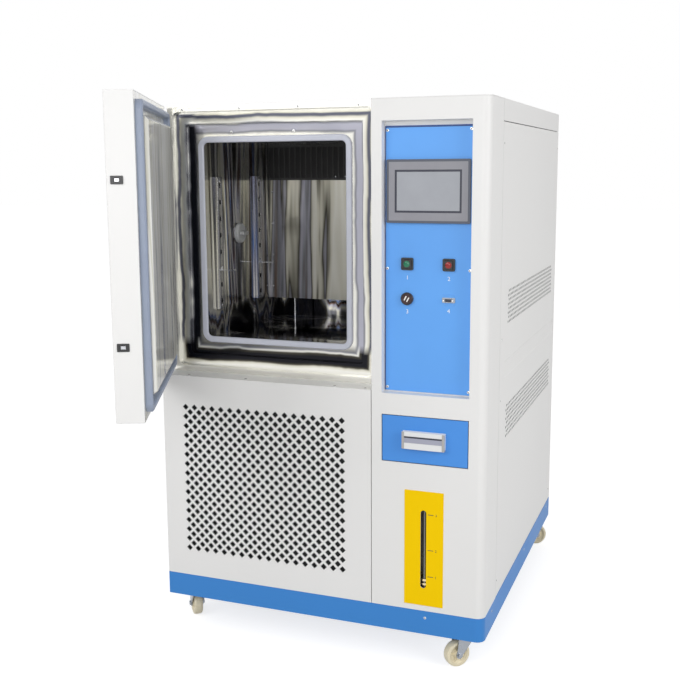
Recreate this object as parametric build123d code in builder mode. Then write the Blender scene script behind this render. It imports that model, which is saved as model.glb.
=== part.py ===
"""Temperature and humidity test chamber on casters, with its hinged door standing open.

Millimetres. X is across the front from left to right, Y runs from the front to the back, Z is up.
The origin is on the floor, under the middle of the cabinet.
"""

import math
import os

from build123d import *

os.makedirs("parts", exist_ok=True)

# Cabinet
cabinet_w = 1000.0
cabinet_d = 1120.0
body_h = 1500.0  # underside of the base to the top
caster_h = 100.0
base_h = 70.0
base_wall = 3.0
sheet = 2.0
seam = 2.0
corner_r = 25.0  # rolled front right corner
door_recess = 75.0  # chamber front behind the front face
chamber_front_w = 671.5  # left side to the control section
ledge_above_base = 630.0

left, right = -cabinet_w / 2, cabinet_w / 2
front, back = -cabinet_d / 2, cabinet_d / 2
base_z = caster_h
deck_z = base_z + base_h
top_z = base_z + body_h
control_x = left + chamber_front_w
frame_y = front + door_recess
ledge_z = deck_z + ledge_above_base
seam_z = top_z - 60.0  # lower edge of the top cover's rim
side_seam_y = front + 154.0  # rear edge of the corner sheet

# Stepped mouth of the chamber, from its outer edge inwards
frame_w = chamber_front_w - seam
frame_h = top_z - ledge_z
frame_x = left + frame_w / 2
frame_z = (top_z + ledge_z) / 2
flange_w = 17.0
groove_d = 14.0
step_inset = 53.0
step_d = 13.0
mouth_inset = 100.0
mouth_plate = 4.0
groove_y = frame_y + groove_d
step_y = groove_y + step_d
liner_y = step_y + mouth_plate

# Working space, its stainless liner and the duct behind its back wall
space_w = 500.0
space_h = 600.0
space_d = 500.0
liner_t = 2.0
duct_d = 120.0
back_t = 100.0  # insulation behind the liner
space_left = frame_x - space_w / 2
space_right = frame_x + space_w / 2
space_floor = frame_z - 5.0 - space_h / 2
space_top = space_floor + space_h
space_z = (space_floor + space_top) / 2
baffle_y = liner_y + space_d
liner_back = baffle_y + duct_d
insulation_back = liner_back + back_t
intake_h = 70.0  # gap below the baffle
outlet_h = 120.0  # black grille above the baffle

# Door, modelled shut
door_gap = 3.5
door_lift = 6.0
door_t = 70.0
door_w = chamber_front_w - door_gap
door_bottom = ledge_z + door_lift
door_top = top_z - seam
door_h = door_top - door_bottom
door_x = left + door_w / 2
door_z = (door_top + door_bottom) / 2
door_back = front + door_t
door_open_deg = 65.4
seal_inset = 18.5
seal_w = 18.0
seal_h = 18.0
plug_inset = 57.0
plug_h = 25.0
hinge_x = left - 10.5
hinge_y = front + 59.0
hinge_r = 8.0
hinge_pin_r = 4.0
hinge_play = 0.05
hinge_knuckle = 30.0
hinge_leaf_t = 3.0
hinge_heights = (door_bottom + 120.0, door_top - 120.0)
latch_heights = (door_bottom + 187.0, door_top - 207.0)
latch_from_face = 25.0
latch_plate_w, latch_plate_h = 30.0, 20.0
bolt_w, bolt_h = 12.0, 8.0
bolt_proud = 3.0
bolt_travel = 12.0
handle_inset = 60.0
handle_z = door_z

# Front of the control section
panel_x = 326.0
pocket_w, pocket_h, pocket_d = 249.0, 745.0, 25.0
pocket_z = base_z + 1067.5
plate_w, plate_h, plate_t = 245.0, 728.0, 3.0
plate_z = base_z + 1063.0
plate_y = front + pocket_d
screen_w, screen_h, screen_proud = 233.0, 171.0, 8.0
screen_z = base_z + 1252.0
glass_w, glass_h = 186.0, 115.0
button_pitch = 117.0
button_z = base_z + 1055.0
button_side = 34.0
button_cap = 24.0
button_travel = 3.0
socket_z = base_z + 959.0
buzzer_r = 17.5
drawer_w, drawer_h, drawer_z = 249.0, 135.0, base_z + 567.0
drawer_gap = 2.0
drawer_depth = 300.0
drawer_travel = 220.0
pull_w, pull_h, pull_d = 122.0, 49.0, 14.0
gauge_w, gauge_h, gauge_z = 113.0, 336.0, base_z + 254.5
slot_w, slot_h = 16.5, 229.0

# Perforated panel
pitch = 29.7
bar = 7.0
columns, rows = 18, 16
field_x = -171.0
field_z = base_z + 381.0

# Casters
wheel_r, wheel_w = 37.5, 28.0
tread_flat, tread_drop = 16.0, 4.0
trail = 30.0
axle_r = 4.0
kingpin_r = 5.0
running_play = 0.05
caster_x, caster_y = 435.0, 495.0
top_plate_t = 3.0
race_t, race_r = 6.0, 27.0
fork_top_t, fork_t = 5.0, 3.0
fork_gap = 3.0
stack_gap = 0.3
caster_places = {
    "front_left": (-caster_x, -caster_y, 130.0),
    "front_right": (caster_x, -caster_y, 224.0),
    "rear_left": (-caster_x, caster_y, 75.0),
    "rear_right": (caster_x, caster_y, 25.0),
}


def front_plane(y):
    """Upright plane facing the front, with X across and Z up."""
    return Plane(origin=(0, y, 0), x_dir=(1, 0, 0), z_dir=(0, -1, 0))


def side_plane(x):
    """Upright plane facing the right side, with Y across and Z up."""
    return Plane(origin=(x, 0, 0), x_dir=(0, 1, 0), z_dir=(1, 0, 0))


def level(z):
    return Plane.XY.offset(z)


def keep(piece, name):
    piece.label = name
    export_step(piece, f"parts/{name}.step")


def span(low, high):
    """Middle and length between two coordinates."""
    return (low + high) / 2, high - low


door_axis = Axis((hinge_x, hinge_y, 0), (0, 0, 1))
front_right = Axis((0, 0, 0), (1, -1, 0))


def swung(piece):
    """The door's pieces are modelled shut, and stand open in the finished part."""
    return piece.rotate(door_axis, -door_open_deg)


# Blue base: a folded tray, open below, with two channels that take the casters
rail_w, rail_t = 110.0, 6.0
rail_x = right - corner_r - rail_w / 2
with BuildPart() as base_tray:
    with BuildSketch(level(base_z)) as base_outline:
        Rectangle(cabinet_w, cabinet_d)
        fillet(base_outline.vertices().sort_by(front_right)[-1], corner_r)
    extrude(amount=base_h)
    offset(amount=-base_wall, openings=base_tray.faces().sort_by(Axis.Z)[0])
    with BuildSketch(level(base_z)):
        with Locations((rail_x, 0), (-rail_x, 0)):
            Rectangle(rail_w, cabinet_d - base_wall)
    extrude(amount=rail_t)
keep(base_tray.part, "base_tray")

# Partition between the chamber and the control section, in one with the deck under the chamber
deck_top = ledge_z - sheet
with BuildPart() as inner_frame:
    wall_mid, wall_len = span(liner_y, back - sheet)
    with BuildSketch(front_plane(liner_y)):
        with Locations((control_x - seam / 2, (deck_z + top_z - sheet) / 2)):
            Rectangle(sheet, top_z - sheet - deck_z)
        with Locations((span(left + sheet, control_x)[0], deck_top - sheet / 2)):
            Rectangle(span(left + sheet, control_x)[1], sheet)
    extrude(amount=-wall_len)
keep(inner_frame.part, "inner_frame")

# Perforated front panel: folded sheet with a ledge on top and a lattice of square holes on edge
panel_w = chamber_front_w - seam
with BuildPart() as grille_panel:
    with BuildSketch(front_plane(front)):
        with Locations((left + panel_w / 2, (deck_z + ledge_z) / 2)):
            Rectangle(panel_w, ledge_z - deck_z)
    extrude(amount=-door_recess)
    shell_faces = grille_panel.faces()
    offset(
        amount=-sheet,
        openings=[shell_faces.sort_by(Axis.Y)[-1], shell_faces.sort_by(Axis.Z)[0]],
    )
    with BuildSketch(front_plane(front)):
        hole = pitch / math.sqrt(2) - bar
        with Locations((field_x, field_z)):
            with GridLocations(pitch, pitch, columns, rows):
                Rectangle(hole, hole, rotation=45)
            with GridLocations(pitch, pitch, columns - 1, rows - 1):
                Rectangle(hole, hole, rotation=45)
    extrude(amount=-sheet, mode=Mode.SUBTRACT)
keep(grille_panel.part, "grille_panel")

# Control section front: one sheet that rolls round the corner, with the sunk pocket for the panel
with BuildPart() as control_fascia:
    with BuildSketch(level(deck_z)) as fold:
        x_mid, x_len = span(control_x, right)
        y_mid, y_len = span(front, side_seam_y)
        with Locations((x_mid, y_mid)):
            Rectangle(x_len, y_len)
        fillet(fold.vertices().sort_by(front_right)[-1], corner_r)
    extrude(amount=top_z - sheet - deck_z)
    with BuildSketch(level(deck_z)) as hollow:
        with Locations((x_mid, y_mid + sheet)):
            Rectangle(x_len - 2 * sheet, y_len)
        fillet(hollow.vertices().sort_by(front_right)[-1], corner_r - sheet)
    extrude(amount=top_z - sheet - deck_z, mode=Mode.SUBTRACT)
    with BuildSketch(level(deck_z)):
        y_mid, y_len = span(frame_y, side_seam_y)
        with Locations((control_x + sheet, y_mid)):
            Rectangle(2 * sheet + seam, y_len)
    extrude(amount=top_z - deck_z, mode=Mode.SUBTRACT)
    with BuildSketch(front_plane(front)):
        with Locations((panel_x, pocket_z)):
            Rectangle(pocket_w + 2 * sheet, pocket_h + 2 * sheet)
    extrude(amount=-(pocket_d + plate_t + sheet))
    with BuildSketch(front_plane(front)):
        with Locations((panel_x, pocket_z)):
            Rectangle(pocket_w, pocket_h)
    extrude(amount=-(pocket_d + plate_t), mode=Mode.SUBTRACT)
    with BuildSketch(front_plane(front)):
        with Locations((panel_x, screen_z)):
            Rectangle(screen_w - 24, screen_h - 24)
        with Locations((panel_x, (button_z + socket_z) / 2)):
            with GridLocations(button_pitch, button_z - socket_z, 2, 2):
                Circle(buzzer_r - 4)
    extrude(amount=-60, mode=Mode.SUBTRACT)
    with BuildSketch(front_plane(front)):
        with Locations((panel_x, drawer_z)):
            Rectangle(drawer_w, drawer_h)
        with Locations((panel_x - 1, gauge_z - 2)):
            SlotOverall(slot_h, slot_w, rotation=90)
    extrude(amount=-sheet, mode=Mode.SUBTRACT)
    with BuildSketch(side_plane(control_x)):
        for height in latch_heights:
            with Locations((front + latch_from_face, height)):
                Rectangle(bolt_w + 8, bolt_h + 8)
    extrude(amount=sheet, mode=Mode.SUBTRACT)
keep(control_fascia.part, "control_fascia")

# Top cover: flat sheet that follows the front's step, with a rim on three sides
with BuildPart() as top_cover:
    with BuildSketch(level(top_z - sheet)) as lid:
        with BuildLine():
            Polyline(
                (left, liner_y),
                (control_x, liner_y),
                (control_x, front),
                (right, front),
                (right, back),
                (left, back),
                close=True,
            )
        make_face()
        fillet(lid.vertices().sort_by(front_right)[-1], corner_r)
    extrude(amount=sheet)
    with BuildSketch(level(seam_z)):
        y_mid, y_len = span(side_seam_y + seam, back)
        with Locations((0, y_mid)):
            Rectangle(cabinet_w, y_len)
        with Locations((0, y_mid - sheet)):
            Rectangle(cabinet_w - 2 * sheet, y_len, mode=Mode.SUBTRACT)
    extrude(amount=top_z - sheet - seam_z)
keep(top_cover.part, "top_cover")

# Right side panel with a pressed band across it
panel_low, panel_high = deck_z + seam, seam_z - seam
with BuildPart() as side_panel_right:
    y_mid, y_len = span(side_seam_y + seam, back - sheet)
    z_mid, z_len = span(panel_low, panel_high)
    with BuildSketch(side_plane(right - sheet)):
        with Locations((y_mid, z_mid)):
            Rectangle(y_len, z_len)
    extrude(amount=sheet)
    with BuildSketch(side_plane(right)):
        with Locations((y_mid + 15, base_z + 737)):
            Rectangle(y_len - 70, 46)
    extrude(amount=-1.0, mode=Mode.SUBTRACT)
    with BuildSketch(side_plane(right - sheet)):
        with Locations((y_mid + 15, base_z + 737)):
            Rectangle(y_len - 70, 46)
    extrude(amount=-1.0)
keep(side_panel_right.part, "side_panel_right")

# Left side panel with the cable port's hole and louvre slots for the machine space
port_y, port_z, port_r = -197.0, base_z + 1107.0, 25.0
port_wall, port_fit = 3.0, 0.3
louvre_w, louvre_h, louvre_pitch, louvres = 260.0, 8.0, 26.0, 12
with BuildPart() as side_panel_left:
    with BuildSketch(side_plane(left)) as side_left:
        y_mid, y_len = span(frame_y, back - sheet)
        with Locations((y_mid, z_mid)):
            Rectangle(y_len, z_len)
        with Locations((frame_y, (ledge_z + panel_high) / 2)):
            Rectangle(2 * (liner_y - frame_y), panel_high - ledge_z, mode=Mode.SUBTRACT)
        with Locations((port_y, port_z)):
            Circle(port_r + port_wall + port_fit, mode=Mode.SUBTRACT)
        with Locations((0, (deck_z + ledge_z) / 2)):
            with GridLocations(louvre_w + 60, louvre_pitch, 2, louvres):
                Rectangle(louvre_w, louvre_h, mode=Mode.SUBTRACT)
    extrude(amount=sheet)
keep(side_panel_left.part, "side_panel_left")

# Rear panel with two fields of slots and the hole of the power gland
gland_x, gland_z, gland_r = 330.0, base_z + 150.0, 14.0
with BuildPart() as rear_panel:
    with BuildSketch(front_plane(back)):
        with Locations((0, z_mid)):
            Rectangle(cabinet_w, z_len)
        with Locations((-170, (deck_z + ledge_z) / 2)):
            with GridLocations(louvre_w, louvre_pitch, 2, louvres):
                Rectangle(louvre_w - 60, louvre_h, mode=Mode.SUBTRACT)
        with Locations((gland_x, gland_z)):
            Circle(gland_r + port_fit, mode=Mode.SUBTRACT)
    extrude(amount=sheet)
keep(rear_panel.part, "rear_panel")

# Stepped stainless frame round the chamber's mouth
with BuildPart() as mouth_frame:
    for y, depth, inset, radius in (
        (frame_y, groove_d, flange_w, 20.0),
        (groove_y, step_d, step_inset, 12.0),
        (step_y, mouth_plate, mouth_inset, 24.0),
    ):
        with BuildSketch(front_plane(y)):
            with Locations((frame_x, frame_z)):
                Rectangle(frame_w, frame_h)
                RectangleRounded(
                    frame_w - 2 * inset, frame_h - 2 * inset, radius, mode=Mode.SUBTRACT
                )
        extrude(amount=-depth)
keep(mouth_frame.part, "mouth_frame")

# Silicone trim round the mouth's edge
trim_w, trim_h = 18.0, 6.5
trim_outer = mouth_inset - 10.5
with BuildPart() as mouth_gasket:
    with BuildSketch(front_plane(step_y)):
        with Locations((frame_x, frame_z)):
            RectangleRounded(frame_w - 2 * trim_outer, frame_h - 2 * trim_outer, 32.0)
            RectangleRounded(
                frame_w - 2 * (trim_outer + trim_w),
                frame_h - 2 * (trim_outer + trim_w),
                32.0 - trim_w,
                mode=Mode.SUBTRACT,
            )
    extrude(amount=trim_h)
    chamfer(mouth_gasket.faces().sort_by(Axis.Y)[0].edges(), 2.5)
keep(mouth_gasket.part, "mouth_gasket")

# Stainless liner of the working space, open to the front
shaft_hole_r = 12.0
fan_z = space_top - 105.0
with BuildPart() as chamber_liner:
    with BuildSketch(front_plane(liner_y)):
        with Locations((frame_x, space_z)):
            Rectangle(space_w + 2 * liner_t, space_h + 2 * liner_t)
            Rectangle(space_w, space_h, mode=Mode.SUBTRACT)
    extrude(amount=-(liner_back - liner_y))
    with BuildSketch(front_plane(liner_back - liner_t)):
        with Locations((frame_x, space_z)):
            Rectangle(space_w, space_h)
        with Locations((frame_x, fan_z)):
            Circle(shaft_hole_r, mode=Mode.SUBTRACT)
    extrude(amount=-liner_t)
    with BuildSketch(side_plane(space_left - liner_t)):
        with Locations((port_y, port_z)):
            Circle(port_r + port_wall + port_fit)
    extrude(amount=liner_t, mode=Mode.SUBTRACT)
keep(chamber_liner.part, "chamber_liner")

# Foam round the liner
with BuildPart() as chamber_insulation:
    x_mid, x_len = span(left + sheet, control_x - seam)
    z_mid_foam, z_len_foam = span(deck_top, top_z - sheet)
    with BuildSketch(front_plane(liner_y)):
        with Locations((x_mid, z_mid_foam)):
            Rectangle(x_len, z_len_foam)
    extrude(amount=-(insulation_back - liner_y))
    with BuildSketch(front_plane(liner_y)):
        with Locations((frame_x, space_z)):
            Rectangle(space_w + 2 * liner_t, space_h + 2 * liner_t)
    extrude(amount=-(liner_back - liner_y), mode=Mode.SUBTRACT)
    with BuildSketch(front_plane(insulation_back)):
        with Locations((frame_x, fan_z)):
            Circle(shaft_hole_r)
    extrude(amount=back_t, mode=Mode.SUBTRACT)
    with BuildSketch(side_plane(left)):
        with Locations((port_y, port_z)):
            Circle(port_r + port_wall + port_fit)
    extrude(amount=space_left - left, mode=Mode.SUBTRACT)
keep(chamber_insulation.part, "chamber_insulation")

# Back wall of the working space: a tray fixed to the liner, with an intake gap below
baffle_low = space_floor + intake_h
baffle_high = space_top - outlet_h
tray_d = 20.0
with BuildPart() as air_baffle:
    with BuildSketch(front_plane(baffle_y)):
        with Locations((frame_x, (baffle_low + baffle_high) / 2)):
            Rectangle(space_w, baffle_high - baffle_low)
    extrude(amount=-tray_d)
    offset(amount=-sheet, openings=air_baffle.faces().sort_by(Axis.Y)[-1])
keep(air_baffle.part, "air_baffle")

# Black outlet grille above the baffle
outlet_bars = 25
with BuildPart() as outlet_grille:
    with BuildSketch(front_plane(baffle_y)):
        with Locations((frame_x, (baffle_high + space_top) / 2)):
            Rectangle(space_w, outlet_h)
            with GridLocations(space_w / outlet_bars, outlet_h, outlet_bars, 1):
                Rectangle(space_w / outlet_bars - 4, outlet_h - 16, mode=Mode.SUBTRACT)
    extrude(amount=-sheet)
keep(outlet_grille.part, "outlet_grille")

# Finned evaporator in the duct, fixed to the liner's back wall
fins, fin_t = 14, 2.0
coil_w, coil_h, coil_d = 460.0, 270.0, 60.0
coil_y = liner_back - liner_t
with BuildPart() as evaporator:
    with BuildSketch(level(baffle_low)):
        with Locations((frame_x, coil_y - coil_d / 2)):
            Rectangle(coil_w, 16)
            with GridLocations((coil_w - fin_t) / (fins - 1), coil_d, fins, 1):
                Rectangle(fin_t, coil_d)
    extrude(amount=coil_h)
keep(evaporator.part, "evaporator")

# Heating rod bent into a hairpin, standing on the duct's floor
rod_r = 4.0
rod_y = baffle_y + tray_d + 12.0
with BuildPart() as heater:
    with BuildLine():
        rod = Polyline(
            (frame_x - 170, rod_y, space_floor),
            (frame_x - 170, rod_y, space_floor + 300),
            (frame_x, rod_y, space_floor + 300),
            (frame_x, rod_y, space_floor + 120),
            (frame_x + 170, rod_y, space_floor + 120),
            (frame_x + 170, rod_y, space_floor),
        )
    with BuildSketch(Plane(origin=rod @ 0, z_dir=rod % 0)):
        Circle(rod_r)
    sweep(transition=Transition.RIGHT)
keep(heater.part, "heater")

# Motor of the circulation fan, with its flange on the foam's back and its shaft through the wall
motor_r, motor_len = 60.0, 95.0
shaft_r = 6.0
hub_y = coil_y - 88.0
with BuildPart() as fan_motor:
    with BuildSketch(front_plane(insulation_back)):
        with Locations((frame_x, fan_z)):
            RectangleRounded(150, 150, 12)
    extrude(amount=-4)
    with BuildSketch(front_plane(insulation_back + 4)):
        with Locations((frame_x, fan_z)):
            Circle(motor_r)
    extrude(amount=-motor_len)
    chamfer(fan_motor.edges().filter_by(GeomType.CIRCLE).sort_by(Axis.Y)[-1], 10)
    with BuildSketch(front_plane(insulation_back)):
        with Locations((frame_x, fan_z)):
            Circle(shaft_r)
    extrude(amount=insulation_back - hub_y)
keep(fan_motor.part, "fan_motor")

# Circulation fan: a wheel of straight blades between a back plate and a front ring
fan_r, fan_depth, fan_blades = 85.0, 44.0, 16
with BuildPart() as fan_wheel:
    with BuildSketch(front_plane(hub_y + 40)):
        with Locations((frame_x, fan_z)):
            Circle(fan_r)
            Circle(shaft_r + running_play, mode=Mode.SUBTRACT)
    extrude(amount=sheet)
    with BuildSketch(front_plane(hub_y + 40)):
        with Locations((frame_x, fan_z)):
            Circle(16)
            Circle(shaft_r + running_play, mode=Mode.SUBTRACT)
    extrude(amount=26)
    with BuildSketch(front_plane(hub_y + 40)):
        with Locations((frame_x, fan_z)):
            with PolarLocations(fan_r - 14, fan_blades):
                Rectangle(26, sheet, rotation=35)
    extrude(amount=fan_depth)
    with BuildSketch(front_plane(hub_y + 40 - fan_depth)):
        with Locations((frame_x, fan_z)):
            Circle(fan_r)
            Circle(fan_r - 26, mode=Mode.SUBTRACT)
    extrude(amount=sheet)
keep(fan_wheel.part, "fan_wheel")

# Slotted uprights for the shelves, on both side walls
upright_w, upright_d = 30.0, 13.0
upright_low, upright_high = space_floor + 81.0, space_floor + 495.0
upright_ys = (liner_y + 109.0, liner_y + 394.0)
upright_slots = 8
hook_slot_w, hook_slot_h = 13.0, 14.0
slot_pitch = (upright_high - upright_low) / upright_slots
with BuildPart() as shelf_uprights:
    for wall_x, inward in ((space_left, 1), (space_right, -1)):
        for y in upright_ys:
            with BuildSketch(level(upright_low)):
                with Locations((wall_x + inward * upright_d / 2, y)):
                    Rectangle(upright_d, upright_w)
                with Locations((wall_x + inward * (upright_d / 2 - sheet), y)):
                    Rectangle(upright_d, upright_w - 2 * sheet, mode=Mode.SUBTRACT)
            extrude(amount=upright_high - upright_low)
            with BuildSketch(side_plane(wall_x)):
                with Locations((y, (upright_low + upright_high) / 2)):
                    with GridLocations(upright_w, slot_pitch, 1, upright_slots):
                        Rectangle(hook_slot_w, hook_slot_h)
            extrude(amount=inward * upright_d, mode=Mode.SUBTRACT)
keep(shelf_uprights.part, "shelf_uprights")

# Shelf brackets: one bent hook in a slot of each upright, with a lip that keeps the shelf back
bracket_slot = 2  # counted from the lowest slot
bracket_z = upright_low + (bracket_slot + 0.5) * slot_pitch - hook_slot_h / 2
bracket_t, bracket_w, bracket_len, bracket_lip = 3.0, 12.0, 48.0, 12.0
with BuildPart() as shelf_brackets:
    for wall_x, inward in ((space_left, 1), (space_right, -1)):
        for y in upright_ys:
            with BuildSketch(Plane(origin=(wall_x, y, bracket_z), x_dir=(1, 0, 0), z_dir=(0, -1, 0))):
                with BuildLine():
                    Polyline(
                        (inward * (upright_d - 2 * sheet), 0),
                        (inward * (upright_d - 2 * sheet), bracket_lip),
                        (inward * (upright_d - sheet), bracket_lip),
                        (inward * (upright_d - sheet), bracket_t),
                        (inward * (upright_d + bracket_len - bracket_t), bracket_t),
                        (inward * (upright_d + bracket_len - bracket_t), bracket_lip / 2),
                        (inward * (upright_d + bracket_len), bracket_lip / 2),
                        (inward * (upright_d + bracket_len), 0),
                        close=True,
                    )
                make_face()
            extrude(amount=bracket_w / 2, both=True)
keep(shelf_brackets.part, "shelf_brackets")

# Cable port: flanged sleeve through the left wall
port_flange_t = 3.0
with BuildPart() as cable_port_sleeve:
    with BuildSketch(side_plane(left)):
        with Locations((port_y, port_z)):
            Circle(port_r + 18)
    extrude(amount=-port_flange_t)
    with BuildSketch(side_plane(left)):
        with Locations((port_y, port_z)):
            Circle(port_r + port_wall)
    extrude(amount=space_left - left)
    with BuildSketch(side_plane(space_left)):
        with Locations((port_y, port_z)):
            Circle(port_r + 9)
    extrude(amount=port_flange_t)
    with BuildSketch(side_plane(left - port_flange_t)):
        with Locations((port_y, port_z)):
            Circle(port_r)
    extrude(amount=space_left - left + 2 * port_flange_t, mode=Mode.SUBTRACT)
keep(cable_port_sleeve.part, "cable_port_sleeve")

# Silicone plug in the port, with a cap inside the working space
plug_len = 45.0
with BuildPart() as port_plug:
    with BuildSketch(side_plane(space_left + port_flange_t)):
        with Locations((port_y, port_z)):
            Circle(port_r - port_fit)
    extrude(amount=-plug_len)
    with BuildSketch(side_plane(space_left + port_flange_t)):
        with Locations((port_y, port_z)):
            Circle(port_r + 7)
    extrude(amount=12)
    chamfer(port_plug.edges().filter_by(GeomType.CIRCLE).sort_by(Axis.X)[-1], 4)
    with BuildSketch(side_plane(space_left + port_flange_t + 12)):
        with Locations((port_y, port_z)):
            SlotOverall(34, 12)
    extrude(amount=14)
keep(port_plug.part, "port_plug")

# Blue control plate with its cut-outs
with BuildPart() as control_plate:
    with BuildSketch(front_plane(plate_y)):
        with Locations((panel_x, plate_z)):
            Rectangle(plate_w, plate_h)
        with Locations((panel_x, screen_z)):
            Rectangle(screen_w - 24, screen_h - 24, mode=Mode.SUBTRACT)
        with Locations((panel_x, (button_z + socket_z) / 2)):
            with GridLocations(button_pitch, button_z - socket_z, 2, 2):
                Circle(buzzer_r - 4, mode=Mode.SUBTRACT)
    extrude(amount=-plate_t)
keep(control_plate.part, "control_plate")

# Touch screen: bevelled housing through the plate, and its glass
with BuildPart() as screen_housing:
    with BuildSketch(front_plane(plate_y)):
        with Locations((panel_x, screen_z)):
            RectangleRounded(screen_w, screen_h, 4)
    extrude(amount=screen_proud)
    chamfer(screen_housing.faces().sort_by(Axis.Y)[0].edges(), 4)
    with BuildSketch(front_plane(plate_y)):
        with Locations((panel_x, screen_z)):
            Rectangle(screen_w - 25, screen_h - 25)
    extrude(amount=-40)
    with BuildSketch(front_plane(plate_y - screen_proud)):
        with Locations((panel_x, screen_z)):
            Rectangle(glass_w, glass_h)
    extrude(amount=-3, mode=Mode.SUBTRACT)
keep(screen_housing.part, "screen_housing")

with BuildPart() as screen_glass:
    with BuildSketch(front_plane(plate_y - screen_proud + 3)):
        with Locations((panel_x, screen_z)):
            Rectangle(glass_w, glass_h)
    extrude(amount=2)
keep(screen_glass.part, "screen_glass")

# Square bezels of the two push buttons, with their barrels behind the plate
button_places = {"green_button": -button_pitch / 2, "red_button": button_pitch / 2}
bezel_proud = 5.0
barrel_r, barrel_len = 12.0, 40.0
stem_r = 8.0
with BuildPart() as button_bezels:
    for offset_x in button_places.values():
        with BuildSketch(front_plane(plate_y)):
            with Locations((panel_x + offset_x, button_z)):
                RectangleRounded(button_side, button_side, 4)
        extrude(amount=bezel_proud)
        with BuildSketch(front_plane(plate_y)):
            with Locations((panel_x + offset_x, button_z)):
                Circle(barrel_r)
        extrude(amount=-barrel_len)
        with BuildSketch(front_plane(plate_y - bezel_proud)):
            with Locations((panel_x + offset_x, button_z)):
                RectangleRounded(button_cap + 1, button_cap + 1, 3)
        extrude(amount=-(bezel_proud - 0.5), mode=Mode.SUBTRACT)
        with BuildSketch(front_plane(plate_y)):
            with Locations((panel_x + offset_x, button_z)):
                Circle(stem_r + 0.5)
        extrude(amount=-30, both=True, mode=Mode.SUBTRACT)
keep(button_bezels.part, "button_bezels")

# Push buttons: square lens with a stem in the bezel's barrel
for name, offset_x in button_places.items():
    with BuildPart() as button:
        with BuildSketch(front_plane(plate_y - bezel_proud)):
            with Locations((panel_x + offset_x, button_z)):
                RectangleRounded(button_cap, button_cap, 2.5)
        extrude(amount=button_travel + 0.5)
        chamfer(button.faces().sort_by(Axis.Y)[0].edges(), 1)
        with BuildSketch(front_plane(plate_y - bezel_proud)):
            with Locations((panel_x + offset_x, button_z)):
                Circle(stem_r)
        extrude(amount=-(bezel_proud + 20))
    keep(button.part, name)

# Round alarm buzzer with two slanting sound slots
with BuildPart() as alarm_buzzer:
    with BuildSketch(front_plane(plate_y)):
        with Locations((panel_x - button_pitch / 2, socket_z)):
            Circle(buzzer_r)
    extrude(amount=8)
    chamfer(alarm_buzzer.edges().sort_by(Axis.Y)[0], 2)
    with BuildSketch(front_plane(plate_y - 8)):
        with Locations((panel_x - button_pitch / 2, socket_z)):
            with GridLocations(0.01, 9, 1, 2):
                SlotOverall(20, 3.5, rotation=-40)
    extrude(amount=-3, mode=Mode.SUBTRACT)
    with BuildSketch(front_plane(plate_y)):
        with Locations((panel_x - button_pitch / 2, socket_z)):
            Circle(barrel_r)
    extrude(amount=-30)
keep(alarm_buzzer.part, "alarm_buzzer")

# Data socket: shell with tapered sides and two jack screws
with BuildPart() as data_port:
    with BuildSketch(front_plane(plate_y)):
        with Locations((panel_x + button_pitch / 2, socket_z)):
            RectangleRounded(36, 14, 3)
    extrude(amount=2)
    with BuildSketch(front_plane(plate_y - 2)):
        with Locations((panel_x + button_pitch / 2, socket_z)):
            Trapezoid(20, 10, 80)
            Trapezoid(17.5, 7.5, 80, mode=Mode.SUBTRACT)
    extrude(amount=5)
    with BuildSketch(front_plane(plate_y - 2)):
        with Locations((panel_x + button_pitch / 2, socket_z)):
            with GridLocations(27, 1, 2, 1):
                RegularPolygon(3, 6)
    extrude(amount=4)
    with BuildSketch(front_plane(plate_y)):
        with Locations((panel_x + button_pitch / 2, socket_z)):
            Rectangle(18, 10)
    extrude(amount=-12)
keep(data_port.part, "data_port")

# Switchgear board on the partition: rails with contactors, a fuse row and a terminal strip
board_t = 2.0
board_y, board_z = -60.0, base_z + 1060.0
with BuildPart() as electrical_board:
    with BuildSketch(side_plane(control_x)):
        with Locations((board_y, board_z)):
            Rectangle(420, 600)
    extrude(amount=board_t)
    with BuildSketch(side_plane(control_x + board_t)):
        with Locations((board_y, board_z)):
            with Locations((0, 200)):
                with GridLocations(95, 1, 4, 1):
                    Rectangle(45, 80)
            with Locations((0, 0)):
                with GridLocations(70, 1, 5, 1):
                    Rectangle(55, 70)
            with Locations((0, -200)):
                Rectangle(340, 40)
    extrude(amount=70)
keep(electrical_board.part, "electrical_board")

# Water drawer: folded front, tray and cradle
cradle_t = 1.5
tray_w = drawer_w - 26.0
tray_low = drawer_z - drawer_h / 2 + 10.0
tray_high = drawer_z + drawer_h / 2 - 16.0
drawer_front_d = 14.0
drawer_proud = 1.0
with BuildPart() as drawer_front:
    with BuildSketch(front_plane(front - drawer_proud)):
        with Locations((panel_x, drawer_z)):
            Rectangle(drawer_w - 2 * drawer_gap, drawer_h - 2 * drawer_gap)
    extrude(amount=-drawer_front_d)
    chamfer(drawer_front.faces().sort_by(Axis.Y)[0].edges(), 0.8)
keep(drawer_front.part, "drawer_front")

tray_y = front - drawer_proud + drawer_front_d
with BuildPart() as drawer_tray:
    with BuildSketch(level(tray_low)):
        with Locations((panel_x, tray_y + drawer_depth / 2)):
            Rectangle(tray_w, drawer_depth)
    extrude(amount=tray_high - tray_low)
    offset(amount=-2.5, openings=drawer_tray.faces().sort_by(Axis.Z)[-1])
keep(drawer_tray.part, "drawer_tray")

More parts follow.
